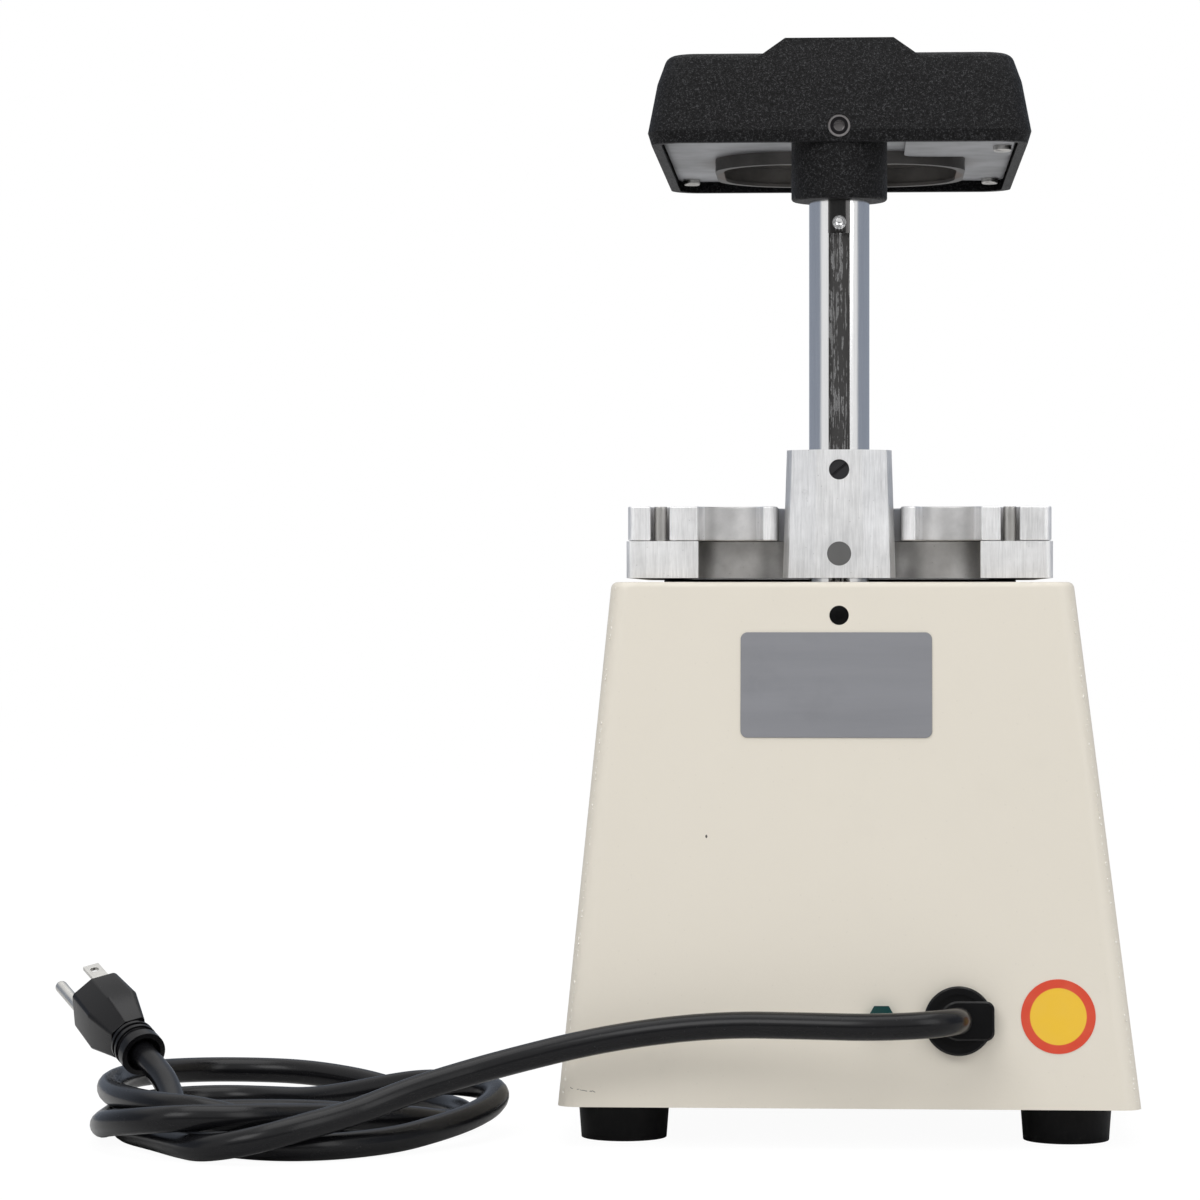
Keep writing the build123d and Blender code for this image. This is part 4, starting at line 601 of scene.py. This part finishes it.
class Shaper:
    def __init__(self, name, sizes):
        self.tree = bpy.data.node_groups.new(name, "GeometryNodeTree")
        self.sizes = sizes
        face = self.tree.interface
        face.new_socket("Geometry", in_out="INPUT", socket_type="NodeSocketGeometry")
        face.new_socket("Geometry", in_out="OUTPUT", socket_type="NodeSocketGeometry")
        for label, value in sizes.items():
            kind = "NodeSocketInt" if isinstance(value, int) else "NodeSocketFloat"
            face.new_socket(label, in_out="INPUT", socket_type=kind)
        self.given = self.tree.nodes.new("NodeGroupInput")

    def size(self, label):
        return self.given.outputs[label]

    def node(self, kind, settings=None, output=0, **inputs):
        made = self.tree.nodes.new(kind)
        for key, value in (settings or {}).items():
            setattr(made, key, value)
        for key, value in inputs.items():
            socket = made.inputs[int(key[1:])] if key[0] == "n" and key[1:].isdigit() else made.inputs[key]
            if isinstance(value, bpy.types.NodeSocket):
                self.tree.links.new(value, socket)
            else:
                socket.default_value = value
        return made.outputs[output]

    def reckon(self, operation, one, two=0.0):
        return self.node("ShaderNodeMath", {"operation": operation}, n0=one, n1=two)

    def vector(self, operation, one, two=None, scale=None):
        made = self.tree.nodes.new("ShaderNodeVectorMath")
        made.operation = operation
        self.tree.links.new(one, made.inputs[0])
        if two is not None:
            self.tree.links.new(two, made.inputs[1])
        if scale is not None:
            self.tree.links.new(scale, made.inputs["Scale"])
        return made.outputs[0]

    def grow(self, host, geometry, material, name):
        real = self.node("GeometryNodeRealizeInstances", Geometry=geometry)
        dressed = self.node("GeometryNodeSetMaterial", Geometry=real, Material=material)
        end = self.tree.nodes.new("NodeGroupOutput")
        self.tree.links.new(dressed, end.inputs[0])
        modifier = host.modifiers.new(name, "NODES")
        modifier.node_group = self.tree
        for item in self.tree.interface.items_tree:
            if item.in_out == "INPUT" and item.name in self.sizes:
                modifier[item.identifier] = self.sizes[item.name]
        bpy.context.view_layer.update()
        mesh = bpy.data.meshes.new_from_object(host.evaluated_get(bpy.context.evaluated_depsgraph_get()))
        mesh.name = name
        mesh.materials.clear()  # a round primitive brings an empty slot with it
        mesh.materials.append(material)
        bpy.data.objects.remove(host)
        return link(bpy.data.objects.new(name, mesh))


def hostLines(name, runs):
    mesh = bpy.data.meshes.new(name)
    points = [point for run in runs for point in run]
    edges = []
    start = 0
    for run in runs:
        edges += [(start + index, start + index + 1) for index in range(len(run) - 1)]
        start += len(run)
    mesh.from_pydata(points, edges, [])
    return link(bpy.data.objects.new(name, mesh))


# Heating element: a close helix of wire laid along the grooves of the ceramic

elementSettings = {"middle": (3.4, -20.0), "rows": 6, "rowPitch": 12.0, "span": 56.0, "turn": 5.4,
                   "turnSteps": 8, "helixRadius": 1.55, "helixPitch": 1.7, "helixSteps": 10.0,
                   "wireRadius": 0.36, "wireSides": 6}


def elementRoute():
    # to and fro in rows, at the height of the solid element
    middleX, middleY = elementSettings["middle"]
    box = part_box("heater_element")
    height = (box[0][2] + box[1][2]) / 2
    ends = (-elementSettings["span"] / 2, elementSettings["span"] / 2)
    route = []
    for row in range(elementSettings["rows"]):
        y = middleY + (row - (elementSettings["rows"] - 1) / 2) * elementSettings["rowPitch"]
        for x in ends if row % 2 == 0 else reversed(ends):
            route.append(((middleX + x) * mm, y * mm, height))
    return route


wire = Shaper("elementHelix", {
    "Helix Radius": elementSettings["helixRadius"] * mm, "Helix Pitch": elementSettings["helixPitch"] * mm,
    "Wire Radius": elementSettings["wireRadius"] * mm, "Turn Radius": elementSettings["turn"] * mm,
})
line = wire.node("GeometryNodeMeshToCurve", Mesh=wire.size("Geometry"))
line = wire.node("GeometryNodeFilletCurve", {"mode": "POLY"}, Curve=line,
                 Count=elementSettings["turnSteps"], Radius=wire.size("Turn Radius"))
step = wire.reckon("DIVIDE", wire.size("Helix Pitch"), elementSettings["helixSteps"])
line = wire.node("GeometryNodeResampleCurve", {"mode": "LENGTH"}, Curve=line, Length=step)
run = wire.node("GeometryNodeSplineParameter", output="Length")
turn = wire.reckon("MULTIPLY", wire.reckon("DIVIDE", run, wire.size("Helix Pitch")), 2 * math.pi)
normal = wire.node("GeometryNodeInputNormal")
side = wire.vector("CROSS_PRODUCT", wire.node("GeometryNodeInputTangent"), normal)
rise = wire.reckon("MULTIPLY", wire.reckon("COSINE", turn), wire.size("Helix Radius"))
swing = wire.reckon("MULTIPLY", wire.reckon("SINE", turn), wire.size("Helix Radius"))
coil = wire.vector("ADD", wire.vector("SCALE", normal, scale=rise), wire.vector("SCALE", side, scale=swing))
line = wire.node("GeometryNodeSetPosition", Geometry=line, Offset=coil)
thin = wire.node("GeometryNodeCurvePrimitiveCircle", Resolution=elementSettings["wireSides"],
                 Radius=wire.size("Wire Radius"))
tube = wire.node("GeometryNodeCurveToMesh", Curve=line, **{"Profile Curve": thin})
element = wire.grow(hostLines("elementRoute", [elementRoute()]), tube, finishes["heating_wire"].material,
                    "heatingElement")
settle(element, "heater_element")
print("element wound:", len(element.data.polygons), "faces")


# Housing's upright edges: the thick coat has left a row of small hard drops on each

dropSettings = {
    "low": 17.0, "high": 199.5, "spacing": 2.1, "radius": 0.36, "seed": 7,
    "stray": (0.0003, 0.0003, 0.0007), "least": (0.35, 0.35, 0.5), "most": (1.0, 1.0, 1.9),
    "bottom": {"halfX": 103.8, "halfY": 131.0, "shiftX": 0.0, "shiftY": 0.0, "height": 14.4},
    "top": {"halfX": 83.25, "halfY": 100.0, "shiftX": 2.4, "shiftY": 11.0, "height": 201.5},
    "cornerRadius": 7.0, "around": 42,  # degrees round the corner at which the row runs
}


def cornerLine(sideX, sideY):
    # up one rounded corner of the housing
    bottom, top = dropSettings["bottom"], dropSettings["top"]
    around = math.radians(dropSettings["around"])
    ends = []
    for z in (dropSettings["low"], dropSettings["high"]):
        share = (z - bottom["height"]) / (top["height"] - bottom["height"])
        at = {key: bottom[key] + (top[key] - bottom[key]) * share for key in bottom}
        x = at["shiftX"] + sideX * (at["halfX"] - dropSettings["cornerRadius"] * (1 - math.cos(around)))
        y = at["shiftY"] + sideY * (at["halfY"] - dropSettings["cornerRadius"] * (1 - math.sin(around)))
        ends.append((x * mm, y * mm, z * mm))
    return ends


drops = Shaper("edgeDrops", {
    "Spacing": dropSettings["spacing"] * mm, "Drop Radius": dropSettings["radius"] * mm,
    "Seed": dropSettings["seed"],
})
line = drops.node("GeometryNodeMeshToCurve", Mesh=drops.size("Geometry"))
line = drops.node("GeometryNodeResampleCurve", {"mode": "LENGTH"}, Curve=line, Length=drops.size("Spacing"))
dots = drops.node("GeometryNodeCurveToPoints", {"mode": "EVALUATED"}, Curve=line)
stray = drops.node("FunctionNodeRandomValue", {"data_type": "FLOAT_VECTOR"}, Seed=drops.size("Seed"),
                   Min=tuple(-value for value in dropSettings["stray"]), Max=dropSettings["stray"])
dots = drops.node("GeometryNodeSetPosition", Geometry=dots, Offset=stray)
drop = drops.node("GeometryNodeMeshIcoSphere", Radius=drops.size("Drop Radius"), Subdivisions=1)
girth = drops.node("FunctionNodeRandomValue", {"data_type": "FLOAT_VECTOR"},
                   Seed=drops.reckon("ADD", drops.size("Seed"), 3.0),
                   Min=dropSettings["least"], Max=dropSettings["most"])
dots = drops.node("GeometryNodeInstanceOnPoints", Points=dots, Instance=drop, Scale=girth)
corners = [cornerLine(sideX, sideY) for sideX in (-1, 1) for sideY in (-1, 1)]
edgeDrops = drops.grow(hostLines("edgeLines", corners), dots, dropFinish.material, "edgeDrops")
smooth(edgeDrops.data, 60)
settle(edgeDrops, body="base", slot="cream_enamel")
print("edge drops:", len(edgeDrops.data.polygons), "faces")


# Every other node: the ones in sight get their edges broken, the rest keep their solid

edgeWidths = dict.fromkeys([
    "bottom_cover", "post", "forming_plate", "reflector_plate", "terminal_cover", "front_panel", "nameplate",
    "ground_screw", "strain_relief", "plug_pins", "key_pin", "ball_plunger", "frame_studs", "lift_knob",
    "thumb_screw", "cover_screws", "foot_screws", "reflector_screws", "heater_ring", "plate_gasket",
    "switch_bodies", "heater_rocker", "motor_rocker", "rubber_feet", "head_set_screw", "knob_stud",
    "motor_plate", "vacuum_chamber", "post_socket", "terminal_block",
], 0.00025)
edgeWidths.update({"strain_relief": 0, "heater_ring": 0})  # these two keep their edges as they are
broadWidths = {"lower_frame": 0.0011, "upper_frame": 0.0011, "heater_head": 0.0007, "base_housing": 0.0003,
               "plug_body": 0.0012}
ownFinish = {"heater_ring": ringFinish, "head_set_screw": screwFinish}
for node, width in edgeWidths.items():
    dress(node, width, finish=ownFinish.get(node))
for node, width in broadWidths.items():
    dress(node, width, 3)

spring = dress("plunger_spring", 0)
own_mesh(spring)

dressed = {*edgeWidths, *broadWidths, "plunger_spring"}
for node, piece in frame["nodes"].items():
    if node not in dressed and not piece.hide_render:
        piece.data.materials.clear()
        piece.data.materials.append(finishes[slotOf[node]].material)
print("nodes dressed:", len(dressed))


# Floor, light and background

studio = {
    "floorHalf": 6, "paper": 0.74, "paperSpread": 0.03, "glow": 1.06, "glowShare": 0.9,
    "level": 0.58, "white": 1.0, "edge": (0.30, 0.335, 0.40), "behind": 0.16,
    "flank": (0.16, 0.36), "overhead": (0.45, 0.75), "rear": (0.70, 0.80), "rearTop": (0.12, 0.30),
}
lamps = {
    "keyLight": {"place": (0.9, 1.5, 1.3), "aim": (0, 0, 0.25), "size": (0.9, 0.9), "power": 9.0},
    "fillLight": {"place": (-1.1, 1.3, 1.0), "aim": (0, 0, 0.25), "size": (0.8, 1.2), "power": 5.0},
    "topLight": {"place": (0.0, 0.1, 1.5), "aim": (0, 0, 0.2), "size": (1.2, 1.2), "power": 8.0},
}


def floorPaper():
    # pale paper that a straight look sees nearly white, with the shadow kept
    made = Finish("floorPaper")
    pale = shade((1, 1, 1), studio["paper"])
    paler = shade((1, 1, 1), studio["paper"] + studio["paperSpread"])
    made.set("Base Color", made.mix(made.noise(3, 2), pale, paler))
    made.set("Roughness", 0.9)
    glow = made.node("Emission", Color=(1, 1, 1), Strength=studio["white"] * studio["glow"])
    straight = made.node("LightPath", output="Is Camera Ray")
    shown = made.tree.nodes.new("ShaderNodeMixShader")
    made.join(straight * studio["glowShare"], shown.inputs[0])
    made.tree.links.new(made.shader.outputs[0], shown.inputs[1])
    made.join(glow, shown.inputs[2])
    made.tree.links.new(shown.outputs[0], made.tree.nodes["Material Output"].inputs["Surface"])
    return made.material


def whiteTent():
    # straight looks see white; gloss sees a white tent with greyer flanks, for the metal's contrast
    made = Surround("studio")
    y, z = made.axes()[1:]
    flank = y.step(*studio["flank"])
    rear = 1 - y.step(*studio["rear"]) * (1 - studio["behind"]) * (1 - z.step(*studio["rearTop"]))
    overhead = z.step(*studio["overhead"])
    shine = made.mix((flank + overhead).held(), studio["edge"], (1, 1, 1))
    shine = made.mix(rear, (0, 0, 0), shine)
    isGlossy = made.node("LightPath", output="Is Glossy Ray")
    isStraight = made.node("LightPath", output="Is Camera Ray")
    isThrough = made.node("LightPath", output="Is Transmission Ray")
    seenByPieces = made.mix(isGlossy, shade((1, 1, 1), studio["level"]), shine)
    straight = (isStraight + isThrough).held()
    made.set("Color", made.mix(straight, seenByPieces, shade((1, 1, 1), studio["white"])))
    return made.world


def softbox(name, place, aim, size, power):
    lamp = bpy.data.lights.new(name, "AREA")
    lamp.shape = "RECTANGLE"
    lamp.size, lamp.size_y = size
    lamp.energy = power
    piece = link(bpy.data.objects.new(name, lamp))
    piece.location = place
    piece.rotation_euler = (Vector(aim) - Vector(place)).to_track_quat("-Z", "Y").to_euler()


reach = studio["floorHalf"]
floorMesh = bpy.data.meshes.new("floor")
floorMesh.from_pydata([(-reach, -reach, 0), (reach, -reach, 0), (reach, reach, 0), (-reach, reach, 0)], [],
                      [(0, 1, 2, 3)])
floorMesh.materials.append(floorPaper())
floor = link(bpy.data.objects.new("floor", floorMesh))
bpy.context.scene.world = whiteTent()
for name, lamp in lamps.items():
    softbox(name, **lamp)
print("studio ready")

bpy.context.scene.view_settings.view_transform = "Standard"
